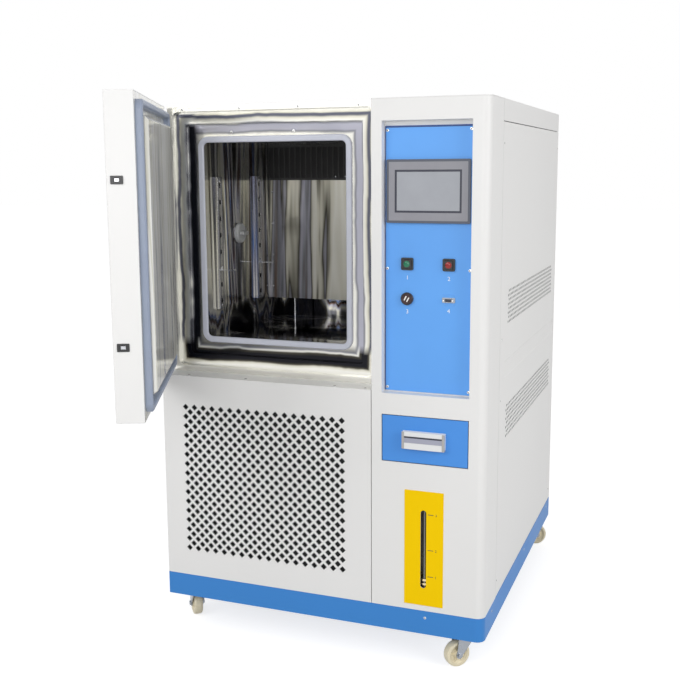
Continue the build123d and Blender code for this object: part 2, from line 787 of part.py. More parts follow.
# Drawer pull: a pressed channel with closed ends, hollow behind so that fingers reach in
pull_z = drawer_z + 2.0
with BuildPart() as drawer_pull:
    with BuildSketch(side_plane(panel_x - pull_w / 2)) as pull_section:
        with BuildLine():
            Polyline(
                (front - drawer_proud, pull_z + pull_h / 2),
                (front - drawer_proud - pull_d, pull_z + pull_h / 2 - 4),
                (front - drawer_proud - pull_d, pull_z - 4),
                (front - drawer_proud - pull_d + 6, pull_z - 8),
                (front - drawer_proud - pull_d + 6, pull_z - pull_h / 2),
                (front - drawer_proud - pull_d + 8, pull_z - pull_h / 2),
                (front - drawer_proud - pull_d + 8, pull_z - 6),
                (front - drawer_proud - pull_d + 2, pull_z - 2),
                (front - drawer_proud - pull_d + 2, pull_z + pull_h / 2 - 6),
                (front - drawer_proud, pull_z + pull_h / 2 - 3),
                close=True,
            )
        make_face()
    extrude(amount=pull_w)
    with BuildSketch(side_plane(panel_x - pull_w / 2)):
        with Locations((front - drawer_proud - pull_d / 2 + 1, pull_z)):
            Rectangle(pull_d - 2, pull_h - 8)
    extrude(amount=3)
    with BuildSketch(side_plane(panel_x + pull_w / 2)):
        with Locations((front - drawer_proud - pull_d / 2 + 1, pull_z)):
            Rectangle(pull_d - 2, pull_h - 8)
    extrude(amount=-3)
keep(drawer_pull.part, "drawer_pull")

with BuildPart() as drawer_cradle:
    inner_w = tray_w + 2 * port_fit
    with BuildSketch(front_plane(tray_y + 1)):
        with Locations((panel_x, tray_low - cradle_t / 2)):
            Rectangle(inner_w + 2 * cradle_t, cradle_t)
        with Locations((panel_x, tray_low + 20 - cradle_t)):
            with GridLocations(inner_w + cradle_t, 1, 2, 1):
                Rectangle(cradle_t, 40)
    extrude(amount=-drawer_depth)
    ear_x = drawer_w / 2 + 8
    ear_low, ear_high = inner_w / 2, ear_x + cradle_t
    with BuildSketch(front_plane(tray_y + 1)):
        with Locations((panel_x, tray_low + 20 - cradle_t)):
            with GridLocations(ear_low + ear_high, 1, 2, 1):
                Rectangle(ear_high - ear_low, 40)
    extrude(amount=-cradle_t)
    with BuildSketch(front_plane(front + sheet)):
        with Locations((panel_x, tray_low + 20 - cradle_t)):
            with GridLocations(2 * ear_x + cradle_t, 1, 2, 1):
                Rectangle(cradle_t, 40)
    extrude(amount=-drawer_front_d)
keep(drawer_cradle.part, "drawer_cradle")

# Yellow gauge plate with the sight slot, and the level tube behind it
with BuildPart() as gauge_plate:
    with BuildSketch(front_plane(front)):
        with Locations((panel_x, gauge_z)):
            Rectangle(gauge_w, gauge_h)
        with Locations((panel_x - 1, gauge_z - 2)):
            SlotOverall(slot_h, slot_w, rotation=90, mode=Mode.SUBTRACT)
    extrude(amount=1)
keep(gauge_plate.part, "gauge_plate")

tank_y, tank_d, tank_w = front + 70.0, 330.0, 250.0
tank_high = gauge_z + slot_h / 2 + 20.0
tube_r = 5.0
tube_y = front + 14.0
with BuildPart() as gauge_tube:
    with BuildLine():
        run = FilletPolyline(
            (panel_x - 1, tank_y, gauge_z + slot_h / 2 + 8),
            (panel_x - 1, tube_y, gauge_z + slot_h / 2 + 8),
            (panel_x - 1, tube_y, gauge_z - slot_h / 2 - 8),
            (panel_x - 1, tank_y, gauge_z - slot_h / 2 - 8),
            radius=12,
        )
    with BuildSketch(Plane(origin=run @ 0, z_dir=run % 0)):
        Circle(tube_r)
    sweep()
keep(gauge_tube.part, "gauge_tube")

with BuildPart() as supply_tank:
    with BuildSketch(level(deck_z)):
        with Locations((panel_x, tank_y + tank_d / 2)):
            RectangleRounded(tank_w, tank_d, 12)
    extrude(amount=tank_high - deck_z)
    chamfer(supply_tank.faces().sort_by(Axis.Z)[-1].edges(), 6)
    with BuildSketch(level(tank_high)):
        with Locations((panel_x, tank_y + tank_d * 0.75)):
            Circle(30)
    extrude(amount=14)
keep(supply_tank.part, "supply_tank")

# Refrigeration: compressor on its feet, condenser with shroud, and the condenser fan
comp_x, comp_y, comp_r, comp_h = -330.0, 140.0, 85.0, 260.0
with BuildPart() as compressor:
    with BuildSketch(level(deck_z)):
        with Locations((comp_x, comp_y)):
            RectangleRounded(240, 180, 20)
    extrude(amount=6)
    with BuildSketch(level(deck_z + 6)):
        with Locations((comp_x, comp_y)):
            Circle(comp_r)
    extrude(amount=comp_h)
    chamfer(compressor.edges().filter_by(GeomType.CIRCLE).sort_by(Axis.Z)[-1], 30)
    with BuildSketch(level(deck_z + 6)):
        with Locations((comp_x + comp_r + 25, comp_y)):
            Circle(24)
    extrude(amount=150)
keep(compressor.part, "compressor")

cond_x, cond_y, cond_w, cond_h, cond_d = -150.0, -410.0, 420.0, 420.0, 50.0
shroud_d = 90.0
blade_r = 160.0
cond_z = deck_z + 20.0 + cond_h / 2
fan_arm = 10.0
condenser_fins = 20
with BuildPart() as condenser:
    with BuildSketch(level(deck_z)):
        with Locations((cond_x, cond_y)):
            Rectangle(cond_w, 20)
            with GridLocations((cond_w - fin_t) / (condenser_fins - 1), 1, condenser_fins, 1):
                Rectangle(fin_t, cond_d)
    extrude(amount=20 + cond_h)
    with BuildSketch(front_plane(cond_y + cond_d / 2)):
        with Locations((cond_x, cond_z)):
            Rectangle(cond_w, cond_h)
            Circle(blade_r + 8, mode=Mode.SUBTRACT)
    extrude(amount=-2)
    with BuildSketch(front_plane(cond_y + cond_d / 2)):
        with Locations((cond_x, cond_z)):
            Circle(blade_r + 10)
            Circle(blade_r + 8, mode=Mode.SUBTRACT)
    extrude(amount=-shroud_d)
    with BuildSketch(front_plane(cond_y + cond_d / 2 + shroud_d)):
        with Locations((cond_x, cond_z)):
            Rectangle(2 * (blade_r + 9), fan_arm)
            Rectangle(fan_arm, 2 * (blade_r + 9))
            Circle(45)
    extrude(amount=fan_arm)
    with BuildSketch(front_plane(cond_y + cond_d / 2 + shroud_d)):
        with Locations((cond_x, cond_z)):
            Circle(40)
    extrude(amount=-60)
    with BuildSketch(front_plane(cond_y + cond_d / 2 + shroud_d - fan_arm)):
        with Locations((cond_x, cond_z)):
            Circle(shaft_r)
    extrude(amount=40)
keep(condenser.part, "condenser")

with BuildPart() as condenser_fan:
    hub_front = cond_y + cond_d / 2 + shroud_d - fan_arm - 38
    with BuildSketch(front_plane(hub_front)):
        with Locations((cond_x, cond_z)):
            Circle(30)
    extrude(amount=-30)
    blade_plane = Plane(
        origin=(cond_x, hub_front + 15, cond_z), x_dir=(1, 0, 0), z_dir=(0, -1, 0)
    )
    with Locations(blade_plane):
        with PolarLocations(0, 5):
            with Locations(Location((90, 0, 0), (25, 0, 0))):
                Box(125, 70, 2)
    with BuildSketch(front_plane(hub_front)):
        with Locations((cond_x, cond_z)):
            Circle(shaft_r + running_play)
    extrude(amount=-30, mode=Mode.SUBTRACT)
keep(condenser_fan.part, "condenser_fan")

# Power gland in the rear panel
with BuildPart() as cable_gland:
    with BuildSketch(front_plane(back - sheet)):
        with Locations((gland_x, gland_z)):
            Circle(gland_r)
    extrude(amount=-30)
    with BuildSketch(front_plane(back)):
        with Locations((gland_x, gland_z)):
            RegularPolygon(gland_r + 5, 6)
    extrude(amount=-8)
    with BuildSketch(front_plane(back - sheet)):
        with Locations((gland_x, gland_z)):
            RegularPolygon(gland_r + 5, 6)
    extrude(amount=8)
    with BuildSketch(front_plane(back - 20)):
        with Locations((gland_x, gland_z)):
            Circle(7)
    extrude(amount=-60, mode=Mode.SUBTRACT)
keep(cable_gland.part, "cable_gland")

# Door hinges: leaf with the middle knuckle and pin on the cabinet, two knuckles on the door
half_knuckle = hinge_knuckle / 2
leaf_y = liner_y + 4.0
with BuildPart() as hinge_leaves_fixed:
    for height in hinge_heights:
        with BuildSketch(level(height - half_knuckle + stack_gap)):
            with Locations((hinge_x, hinge_y)):
                Circle(hinge_r)
            y_mid, y_len = span(hinge_y, leaf_y + 20)
            with Locations((left - 1 - 2, y_mid)):
                Rectangle(4, y_len)
        extrude(amount=hinge_knuckle - 2 * stack_gap)
        with BuildSketch(level(height - 1.5 * hinge_knuckle)):
            y_mid, y_len = span(leaf_y, leaf_y + 50)
            with Locations((left - 2.5, y_mid)):
                Rectangle(5, y_len)
        extrude(amount=3 * hinge_knuckle)
        with BuildSketch(level(height - 1.5 * hinge_knuckle)):
            with Locations((hinge_x, hinge_y)):
                Circle(hinge_pin_r)
        extrude(amount=3 * hinge_knuckle)
keep(hinge_leaves_fixed.part, "hinge_leaves_fixed")

with BuildPart() as hinge_leaves_door:
    for height in hinge_heights:
        for low in (height - 1.5 * hinge_knuckle, height + half_knuckle):
            with BuildSketch(level(low)):
                with Locations((hinge_x, hinge_y)):
                    Circle(hinge_r)
                y_mid, y_len = span(front + 5, hinge_y)
                with Locations((left - hinge_leaf_t / 2, y_mid)):
                    Rectangle(hinge_leaf_t, y_len)
                with Locations((hinge_x, hinge_y)):
                    Circle(hinge_pin_r + hinge_play, mode=Mode.SUBTRACT)
            extrude(amount=hinge_knuckle)
        with BuildSketch(level(height - 1.5 * hinge_knuckle)):
            y_mid, y_len = span(front + 5, hinge_y - hinge_r - 3)
            with Locations((left - hinge_leaf_t / 2, y_mid)):
                Rectangle(hinge_leaf_t, y_len)
        extrude(amount=3 * hinge_knuckle)
keep(swung(hinge_leaves_door.part), "hinge_leaves_door")

# Door: outer tray, foam, stainless inner pan with its raised plug, and the seal
handle_x = left + door_w - handle_inset
cup_r, cup_d = 46.0, 34.0  # round cup of the flush handle
spindle_r, spindle_tail = 8.0, 16.0
with BuildPart() as door_skin:
    with BuildSketch(front_plane(front)):
        with Locations((door_x, door_z)):
            Rectangle(door_w, door_h)
    extrude(amount=-door_t)
    fillet(door_skin.faces().sort_by(Axis.Y)[0].edges(), 3)
    offset(amount=-sheet, openings=door_skin.faces().sort_by(Axis.Y)[-1])
    with BuildSketch(side_plane(left + door_w - sheet)):
        for height in latch_heights:
            with Locations((front + latch_from_face, height)):
                Rectangle(latch_plate_w - 6, latch_plate_h - 6)
    extrude(amount=sheet, mode=Mode.SUBTRACT)
    with BuildSketch(front_plane(front)):
        with Locations((handle_x, handle_z)):
            Circle(cup_r + sheet)
    extrude(amount=-(cup_d + sheet))
    with BuildSketch(front_plane(front)):
        with Locations((handle_x, handle_z)):
            Circle(cup_r)
    extrude(amount=-cup_d, mode=Mode.SUBTRACT)
    with BuildSketch(front_plane(front + cup_d)):
        with Locations((handle_x, handle_z)):
            Circle(spindle_r + running_play)
    extrude(amount=-sheet, mode=Mode.SUBTRACT)
keep(swung(door_skin.part), "door_skin")

latch_pocket = 46.0
with BuildPart() as door_foam:
    with BuildSketch(front_plane(front + 4)):
        with Locations((door_x, door_z)):
            Rectangle(door_w - 8, door_h - 8)
    extrude(amount=-(door_t - 6))
    with BuildSketch(front_plane(door_back - sheet)):
        with Locations((door_x, door_z)):
            Rectangle(door_w - 2 * plug_inset - 24, door_h - 2 * plug_inset - 24)
    extrude(amount=-plug_h)
    with BuildSketch(side_plane(left + door_w - 4)):
        for height in latch_heights:
            with Locations((front + latch_from_face, height)):
                Rectangle(latch_plate_w - 6, latch_plate_h - 6)
    extrude(amount=-latch_pocket, mode=Mode.SUBTRACT)
    with BuildSketch(front_plane(front + 4)):
        with Locations((handle_x, handle_z)):
            Circle(cup_r + sheet)
    extrude(amount=-(cup_d + sheet - 4), mode=Mode.SUBTRACT)
    with BuildSketch(front_plane(front + cup_d + sheet)):
        with Locations((handle_x, handle_z)):
            Circle(spindle_r + 2)
    extrude(amount=-(spindle_tail + 2), mode=Mode.SUBTRACT)
keep(swung(door_foam.part), "door_foam")

plug_w, plug_hgt = door_w - 2 * plug_inset, door_h - 2 * plug_inset
with BuildPart() as door_plug:
    with BuildSketch(front_plane(door_back)):
        with Locations((door_x, door_z)):
            RectangleRounded(plug_w, plug_hgt, 10)
    extrude(amount=-plug_h)
    chamfer(door_plug.faces().sort_by(Axis.Y)[-1].edges(), 8)
    offset(amount=-sheet, openings=door_plug.faces().sort_by(Axis.Y)[0])
    with BuildSketch(front_plane(door_back)):
        with Locations((door_x, door_z)):
            Rectangle(door_w - 2 * sheet, door_h - 2 * sheet)
            RectangleRounded(plug_w - 2 * sheet, plug_hgt - 2 * sheet, 8, mode=Mode.SUBTRACT)
    extrude(amount=sheet)
keep(swung(door_plug.part), "door_plug")

with BuildPart() as door_gasket:
    with BuildSketch(front_plane(door_back)):
        with Locations((door_x, door_z)):
            RectangleRounded(door_w - 2 * seal_inset, door_h - 2 * seal_inset, 26)
            RectangleRounded(
                door_w - 2 * (seal_inset + seal_w),
                door_h - 2 * (seal_inset + seal_w),
                26 - seal_w,
                mode=Mode.SUBTRACT,
            )
    extrude(amount=-seal_h)
    chamfer(door_gasket.faces().sort_by(Axis.Y)[-1].edges(), 4)
keep(swung(door_gasket.part), "door_gasket")

# Latch plates on the door's free edge, and the two bolts that slide through them
latch_x = left + door_w
with BuildPart() as latch_plates:
    with BuildSketch(side_plane(latch_x)):
        for height in latch_heights:
            with Locations((front + latch_from_face, height)):
                RectangleRounded(latch_plate_w, latch_plate_h, 2)
                Rectangle(bolt_w + 1, bolt_h + 1, mode=Mode.SUBTRACT)
    extrude(amount=1.5)
keep(swung(latch_plates.part), "latch_plates")

with BuildPart() as latch_bolts:
    for height in latch_heights:
        with BuildSketch(side_plane(latch_x + bolt_proud)):
            with Locations((front + latch_from_face, height)):
                Rectangle(bolt_w, bolt_h)
        extrude(amount=-40)
    chamfer(latch_bolts.faces().filter_by(Axis.X).sort_by(Axis.X)[-2:].edges(), 1)
keep(swung(latch_bolts.part), "latch_bolts")

# Flush handle: a bar that turns in the door's round cup, upright when the latch is drawn back
bar_sunk, bar_t, bar_w = 1.0, 12.0, 16.0
boss_r = 14.0
with BuildPart() as door_handle:
    with BuildSketch(front_plane(front + bar_sunk + bar_t)):
        with Locations((handle_x, handle_z)):
            SlotOverall(2 * (cup_r - 4), bar_w, rotation=90)
    extrude(amount=bar_t)
    chamfer(door_handle.faces().sort_by(Axis.Y)[0].edges(), 3)
    with BuildSketch(front_plane(front + cup_d - stack_gap)):
        with Locations((handle_x, handle_z)):
            Circle(boss_r)
    extrude(amount=cup_d - stack_gap - bar_sunk - bar_t)
    with BuildSketch(front_plane(front + cup_d + spindle_tail)):
        with Locations((handle_x, handle_z)):
            Circle(spindle_r)
    extrude(amount=spindle_tail + stack_gap)
keep(swung(door_handle.part), "door_handle")

# Casters, modelled with the wheel trailing along X from a kingpin at the origin
fork_high = caster_h - top_plate_t - race_t - stack_gap
leg_y = wheel_w / 2 + fork_gap
with BuildPart() as swivel_plate:
    with BuildSketch(level(caster_h - top_plate_t)):
        Rectangle(80, 84)
    extrude(amount=top_plate_t)
    with BuildSketch(level(caster_h - top_plate_t - race_t)):
        Circle(race_r)
    extrude(amount=race_t)
    with BuildSketch(level(fork_high - fork_top_t)):
        Circle(kingpin_r)
    extrude(amount=caster_h - top_plate_t - fork_high + fork_top_t)

with BuildPart() as caster_fork:
    with BuildSketch(level(fork_high - fork_top_t)):
        with BuildLine():
            Polyline(
                (-22, -leg_y - fork_t),
                (32, -leg_y - fork_t),
                (32, leg_y + fork_t),
                (-22, leg_y + fork_t),
                close=True,
            )
        make_face()
        Circle(kingpin_r + running_play, mode=Mode.SUBTRACT)
    extrude(amount=fork_top_t)
    for side in (-1, 1):
        leg_plane = Plane(
            origin=(0, side * (leg_y + fork_t / 2), 0), x_dir=(1, 0, 0), z_dir=(0, -1, 0)
        )
        with BuildSketch(leg_plane):
            with BuildLine():
                Polyline(
                    (-22, fork_high),
                    (32, fork_high),
                    (trail + 10, wheel_r),
                    (trail - 10, wheel_r),
                    close=True,
                )
            make_face()
            with Locations((trail, wheel_r)):
                Circle(10)
        extrude(amount=fork_t / 2, both=True)
    with BuildSketch(Plane.XZ):
        with Locations((trail, wheel_r)):
            Circle(axle_r)
    extrude(amount=leg_y + fork_t + 4, both=True)

with BuildPart() as caster_wheel:
    with BuildSketch(Plane.YZ) as wheel_section:
        with BuildLine():
            half_w = wheel_w / 2
            hub_r = 12.0
            rim_r = 27.0
            bore_r = axle_r + running_play
            Line((-half_w - 2, bore_r), (-half_w - 2, hub_r))
            Line((-half_w - 2, hub_r), (-half_w + 5, hub_r + 2))
            Line((-half_w + 5, hub_r + 2), (-half_w + 5, rim_r - 2))
            Line((-half_w + 5, rim_r - 2), (-half_w, rim_r))
            Line((-half_w, rim_r), (-half_w, wheel_r - tread_drop))
            Line((-half_w, wheel_r - tread_drop), (-tread_flat / 2, wheel_r))
            Line((-tread_flat / 2, wheel_r), (tread_flat / 2, wheel_r))
            Line((tread_flat / 2, wheel_r), (half_w, wheel_r - tread_drop))
            Line((half_w, wheel_r - tread_drop), (half_w, rim_r))
            Line((half_w, rim_r), (half_w - 5, rim_r - 2))
            Line((half_w - 5, rim_r - 2), (half_w - 5, hub_r + 2))
            Line((half_w - 5, hub_r + 2), (half_w + 2, hub_r))
            Line((half_w + 2, hub_r), (half_w + 2, bore_r))
            Line((half_w + 2, bore_r), (-half_w - 2, bore_r))
        make_face()
    revolve(axis=Axis.Y)

swivel_plates = []
for place, (x, y, turn) in caster_places.items():
    swivel_plates.append(swivel_plate.part.moved(Location((x, y, 0))))
    spot = Location((x, y, 0), (0, 0, turn))
    keep(caster_fork.part.moved(spot), f"caster_fork_{place}")
    axle_spot = spot * Location((trail, 0, wheel_r))
    keep(caster_wheel.part.moved(axle_spot), f"caster_wheel_{place}")
keep(Compound(children=swivel_plates), "caster_plates")
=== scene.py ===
"""Environmental test chamber: finishes, fine detail and studio."""

import math

import bmesh
import bpy
from mathutils import Matrix, Vector


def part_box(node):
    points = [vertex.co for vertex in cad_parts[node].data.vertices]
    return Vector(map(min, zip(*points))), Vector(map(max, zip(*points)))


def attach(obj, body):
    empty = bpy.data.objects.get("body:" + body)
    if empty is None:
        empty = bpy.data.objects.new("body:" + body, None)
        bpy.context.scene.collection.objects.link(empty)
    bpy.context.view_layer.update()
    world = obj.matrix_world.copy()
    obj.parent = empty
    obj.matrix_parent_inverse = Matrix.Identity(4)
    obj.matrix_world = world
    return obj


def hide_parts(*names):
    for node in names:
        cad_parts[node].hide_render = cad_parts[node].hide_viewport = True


bl_info = {
    "name": "Test Chamber Dresser",
    "version": (1, 0, 0),
    "blender": (4, 5, 0),
    "location": "View3D > Sidebar > Chamber",
    "description": "Dresses the packed test chamber with finishes and fine detail",
    "category": "Object",
}

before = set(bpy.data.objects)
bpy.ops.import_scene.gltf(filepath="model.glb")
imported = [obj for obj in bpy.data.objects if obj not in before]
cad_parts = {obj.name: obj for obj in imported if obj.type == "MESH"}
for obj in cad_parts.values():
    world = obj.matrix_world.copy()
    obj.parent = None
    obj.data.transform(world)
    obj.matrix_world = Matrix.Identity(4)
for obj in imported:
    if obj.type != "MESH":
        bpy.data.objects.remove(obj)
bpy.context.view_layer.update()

# The cabinet's faces, the control plate's face and the middle of the controls
FRONT_Y, REAR_Y, SIDE_X, TOP_Z = -0.560, 0.560, 0.500, 1.600
PLATE_Y, PANEL_X = -0.535, 0.326
# How deep a screw's head sits in the outer panels
SUNK = 0.0013
OUTWARD = (0, -1, 0)
# How far the buttons, the buzzer and the socket stand from the middle of the controls
ASIDE = 0.0585
GAUGE_MARKS = (0.456, 0.352, 0.274)
# The chamber's mouth, round which the frame's painted reflections run: its middle by X and Z, its
# half sizes and the breadth of its steel
MOUTH = (-0.16525, 1.200, 0.22725, 0.2925, 0.105)


# Node helpers


def nodes_of(name):
    """A fresh material with an empty tree and its output."""
    material = bpy.data.materials.new(name)
    material.use_nodes = True
    tree = material.node_tree
    tree.nodes.clear()
    out = tree.nodes.new("ShaderNodeOutputMaterial")
    return material, tree, out


def add(tree, kind, **values):
    """Adds a node and sets its properties or, by name, its sockets."""
    node = tree.nodes.new(kind)
    for key, value in values.items():
        if key in node.inputs:
            node.inputs[key].default_value = value
        else:
            setattr(node, key, value)
    return node


def surface(name, **values):
    """A material's tree, its Principled shader's sockets and the object's coordinates."""
    material, tree, out = nodes_of(name)
    shader = add(tree, "ShaderNodeBsdfPrincipled", **values)
    tree.links.new(shader.outputs["BSDF"], out.inputs["Surface"])
    place = add(tree, "ShaderNodeTexCoord").outputs["Object"]
    return material, tree, shader.inputs, place


def computed(tree, operation, *values):
    """The result of a math node on sockets and numbers."""
    node = add(tree, "ShaderNodeMath", operation=operation)
    for socket, value in zip(node.inputs, values):
        if isinstance(value, bpy.types.NodeSocket):
            tree.links.new(value, socket)
        else:
            socket.default_value = value
    return node.outputs["Value"]


def ranged(tree, value, source, target=(0.0, 1.0)):
    """Maps a value from one range to another and clamps it."""
    node = add(tree, "ShaderNodeMapRange")
    limits = zip(("From Min", "From Max", "To Min", "To Max"), (*source, *target))
    for key, limit in limits:
        node.inputs[key].default_value = limit
    tree.links.new(value, node.inputs["Value"])
    return node.outputs["Result"]


def spread(tree, factor, low, high):
    """Maps a noise factor to a narrow range of values."""
    return ranged(tree, factor, (0.3, 0.7), (low, high))


def noise(tree, vector, scale, detail, **values):
    """A noise factor over a vector."""
    node = add(tree, "ShaderNodeTexNoise", Scale=scale, Detail=detail, **values)
    tree.links.new(vector, node.inputs["Vector"])
    return node.outputs["Fac"]


def stretched(tree, vector, scale):
    """A vector scaled along each axis."""
    node = add(tree, "ShaderNodeMapping")
    node.inputs["Scale"].default_value = scale
    tree.links.new(vector, node.inputs["Vector"])
    return node.outputs["Vector"]


def drifting(tree, factor, color, low, high):
    """A colour that drifts between two shares of itself."""
    node = add(tree, "ShaderNodeMix", data_type="RGBA")
    node.inputs["A"].default_value = (*[c * low for c in color], 1)
    node.inputs["B"].default_value = (*[min(1, c * high) for c in color], 1)
    tree.links.new(factor, node.inputs["Factor"])
    return node.outputs["Result"]


def soft_edge(tree, radius):
    """The normal with the edges rounded off."""
    node = add(tree, "ShaderNodeBevel", samples=4)
    node.inputs["Radius"].default_value = radius
    return node.outputs["Normal"]


def bumped(tree, height, normal, strength, distance):
    """A normal tilted by a height."""
    node = add(tree, "ShaderNodeBump", Strength=strength, Distance=distance)
    tree.links.new(height, node.inputs["Height"])
    tree.links.new(normal, node.inputs["Normal"])
    return node.outputs["Normal"]


def ramp(tree, factor, stops):
    """A colour band through (position, colour) stops."""
    node = tree.nodes.new("ShaderNodeValToRGB")
    elements = node.color_ramp.elements
    for element, (position, color) in zip((elements[0], elements[1]), (stops[0], stops[-1])):
        element.position = position
        element.color = (*color, 1)
    for position, color in stops[1:-1]:
        elements.new(position).color = (*color, 1)
    tree.links.new(factor, node.inputs["Fac"])
    return node.outputs["Color"]


def painted(name, color, rough=0.42, peel=0.05, low=0.97, high=1.02, gloss=0.5):
    """Powder coat: even colour with a slight drift, orange peel and soft edges."""
    material, tree, sockets, place = surface(name)
    sockets["Specular IOR Level"].default_value = gloss
    drift = noise(tree, place, 3.0, 3.0)
    grain = noise(tree, place, 900.0, 2.0)
    link = tree.links.new
    link(drifting(tree, drift, color, low, high), sockets["Base Color"])
    link(spread(tree, drift, rough - 0.03, rough + 0.04), sockets["Roughness"])
    link(bumped(tree, grain, soft_edge(tree, 0.0012), peel, 0.0004), sockets["Normal"])
    return material


def metal(name, color, rough=0.12, grain=(1.0, 1.0, 90.0), edge=0.0008, scratch=0.02):
    """Sheet metal: a stretched grain in the roughness and in the normal."""
    material, tree, sockets, place = surface(name, Metallic=1.0)
    sockets["Base Color"].default_value = (*color, 1)
    fine = noise(tree, stretched(tree, place, grain), 30.0, 4.0)
    link = tree.links.new
    link(spread(tree, fine, rough * 0.7, rough * 1.4), sockets["Roughness"])
    link(bumped(tree, fine, soft_edge(tree, edge), scratch, 0.0002), sockets["Normal"])
    return material


def steel_with_painted_reflections(name, stops, stretch=(7.0, 7.0, 0.5), lean=(0.0, 0.0, 1.0), fade=(0, 1, 0, 0),
             rough=0.08, ripple=0.08, ring=None, wobble=0.5, shine=1.0, sides=()):
    """Polished sheet: painted reflections in bands of dark and pale along its folds, and a soft
    ripple.

    The painted bands run along the lean and fade with it, or go round a ring of five numbers: its
    middle by X and Z, its half width, its half height and its breadth. Each of the sides has
    painted bands of reflection and shade of its own beyond a line across X or Z.
    """
    material, tree, sockets, place = surface(name, Metallic=shine)
    link = tree.links.new
    bands = noise(tree, stretched(tree, place, stretch), 1.0, 3.0, Distortion=0.5)
    if ring is None:
        slope = add(tree, "ShaderNodeVectorMath", operation="DOT_PRODUCT")
        slope.inputs[1].default_value = lean
        link(place, slope.inputs[0])
        start = ranged(tree, slope.outputs["Value"], fade[:2], fade[2:])
        wave = spread(tree, bands, 0.5 - wobble, 0.5 + wobble)
    else:
        split = add(tree, "ShaderNodeSeparateXYZ")
        link(place, split.inputs["Vector"])
        middle_x, middle_z, half_x, half_z, breadth = ring
        beyond = []
        for axis, middle, half in (("X", middle_x, half_x), ("Z", middle_z, half_z)):
            shift = computed(tree, "SUBTRACT", split.outputs[axis], middle)
            beyond.append(computed(tree, "SUBTRACT", computed(tree, "ABSOLUTE", shift), half))
        start = computed(tree, "MULTIPLY", computed(tree, "MAXIMUM", *beyond), 1.0 / breadth)
        wave = spread(tree, bands, -wobble, wobble)
    factor = computed(tree, "ADD", start, wave)
    color = ramp(tree, factor, stops)
    for side_stops, axis, outer, inner in sides:
        join = add(tree, "ShaderNodeMix", data_type="RGBA")
        link(ranged(tree, split.outputs[axis], (inner, outer)), join.inputs["Factor"])
        link(color, join.inputs["A"])
        link(ramp(tree, factor, side_stops), join.inputs["B"])
        color = join.outputs["Result"]
    fine = noise(tree, place, 120.0, 2.0)
    broad = noise(tree, place, 5.0, 1.0)
    link(color, sockets["Base Color"])
    link(spread(tree, fine, rough * 0.92, rough * 1.10), sockets["Roughness"])
    link(bumped(tree, broad, soft_edge(tree, 0.0010), ripple, 0.01), sockets["Normal"])
    return material


def moulded(name, color, rough=0.45, texture=0.06, scale=2500.0, glow=0.0, edge=0.0006):
    """Moulded plastic or rubber with a fine texture."""
    material, tree, sockets, place = surface(name)
    sockets["Emission Color"].default_value = (*color, 1)
    sockets["Emission Strength"].default_value = glow
    drift = noise(tree, place, 25.0, 3.0)
    grain = noise(tree, place, scale, 1.0)
    link = tree.links.new
    link(drifting(tree, drift, color, 0.93, 1.05), sockets["Base Color"])
    link(spread(tree, drift, rough - 0.05, rough + 0.05), sockets["Roughness"])
    link(bumped(tree, grain, soft_edge(tree, edge), texture, 0.0003), sockets["Normal"])
    return material


def shown_to_eye(tree, lighting, shown):
    """Mixes in the shown shader for camera, glossy and transmission rays only."""
    path = add(tree, "ShaderNodeLightPath").outputs
    seen = computed(tree, "MAXIMUM", path["Is Camera Ray"], path["Is Glossy Ray"])
    choose = add(tree, "ShaderNodeMixShader")
    link = tree.links.new
    link(computed(tree, "MAXIMUM", seen, path["Is Transmission Ray"]), choose.inputs["Fac"])
    link(lighting, choose.inputs[1])
    link(shown, choose.inputs[2])
    return choose.outputs["Shader"]


# Mesh helpers


def finish_piece(name, bm, material, body, smooth=False):
    """Turns a bmesh into an object at the origin that rides on a body."""
    bmesh.ops.recalc_face_normals(bm, faces=bm.faces)
    mesh = bpy.data.meshes.new(name)
    bm.to_mesh(mesh)
    bm.free()
    if smooth:
        for polygon in mesh.polygons:
            polygon.use_smooth = True
        mesh.set_sharp_from_angle(angle=math.radians(35))
    mesh.materials.append(material)
    piece = bpy.data.objects.new(name, mesh)
    bpy.context.scene.collection.objects.link(piece)
    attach(piece, body)
    return piece


def block(bm, low, high):
    """A box between two corners, in metres."""
    low, high = Vector(low), Vector(high)
    made = bmesh.ops.create_cube(bm, size=1.0)
    bmesh.ops.scale(bm, verts=made["verts"], vec=high - low)
    bmesh.ops.translate(bm, verts=made["verts"], vec=(low + high) / 2)


def lathe(bm, profile, place, steps=48):
    """A surface of revolution from (radius, height) pairs round the place's local Z."""
    others = set(bm.verts)
    verts = [bm.verts.new(place @ Vector((radius, 0, height))) for radius, height in profile]
    edges = [bm.edges.new(pair) for pair in zip(verts, verts[1:])]
    bmesh.ops.spin(
        bm, geom=verts + edges, cent=place.translation, axis=place.to_3x3() @ Vector((0, 0, 1)),
        angle=math.tau, steps=steps, use_merge=True,
    )
    made = [vert for vert in bm.verts if vert not in others]
    bmesh.ops.remove_doubles(bm, verts=made, dist=1e-5)


def facing(place, normal):
    """A matrix that puts local Z along a normal at a place."""
    turn = Vector(normal).to_track_quat("Z", "Y").to_matrix().to_4x4()
    return Matrix.Translation(Vector(place)) @ turn


def front_seat(name):
    """A node's corners, and a seat in the middle of its front."""
    low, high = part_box(name)
    return low, high, facing(((low.x + high.x) / 2, low.y, (low.z + high.z) / 2), OUTWARD)


def hexagon(radius):
    """Points of a hexagon round the origin."""
    angles = [math.tau * k / 6 for k in range(6)]
    return [(radius * math.cos(angle), radius * math.sin(angle)) for angle in angles]


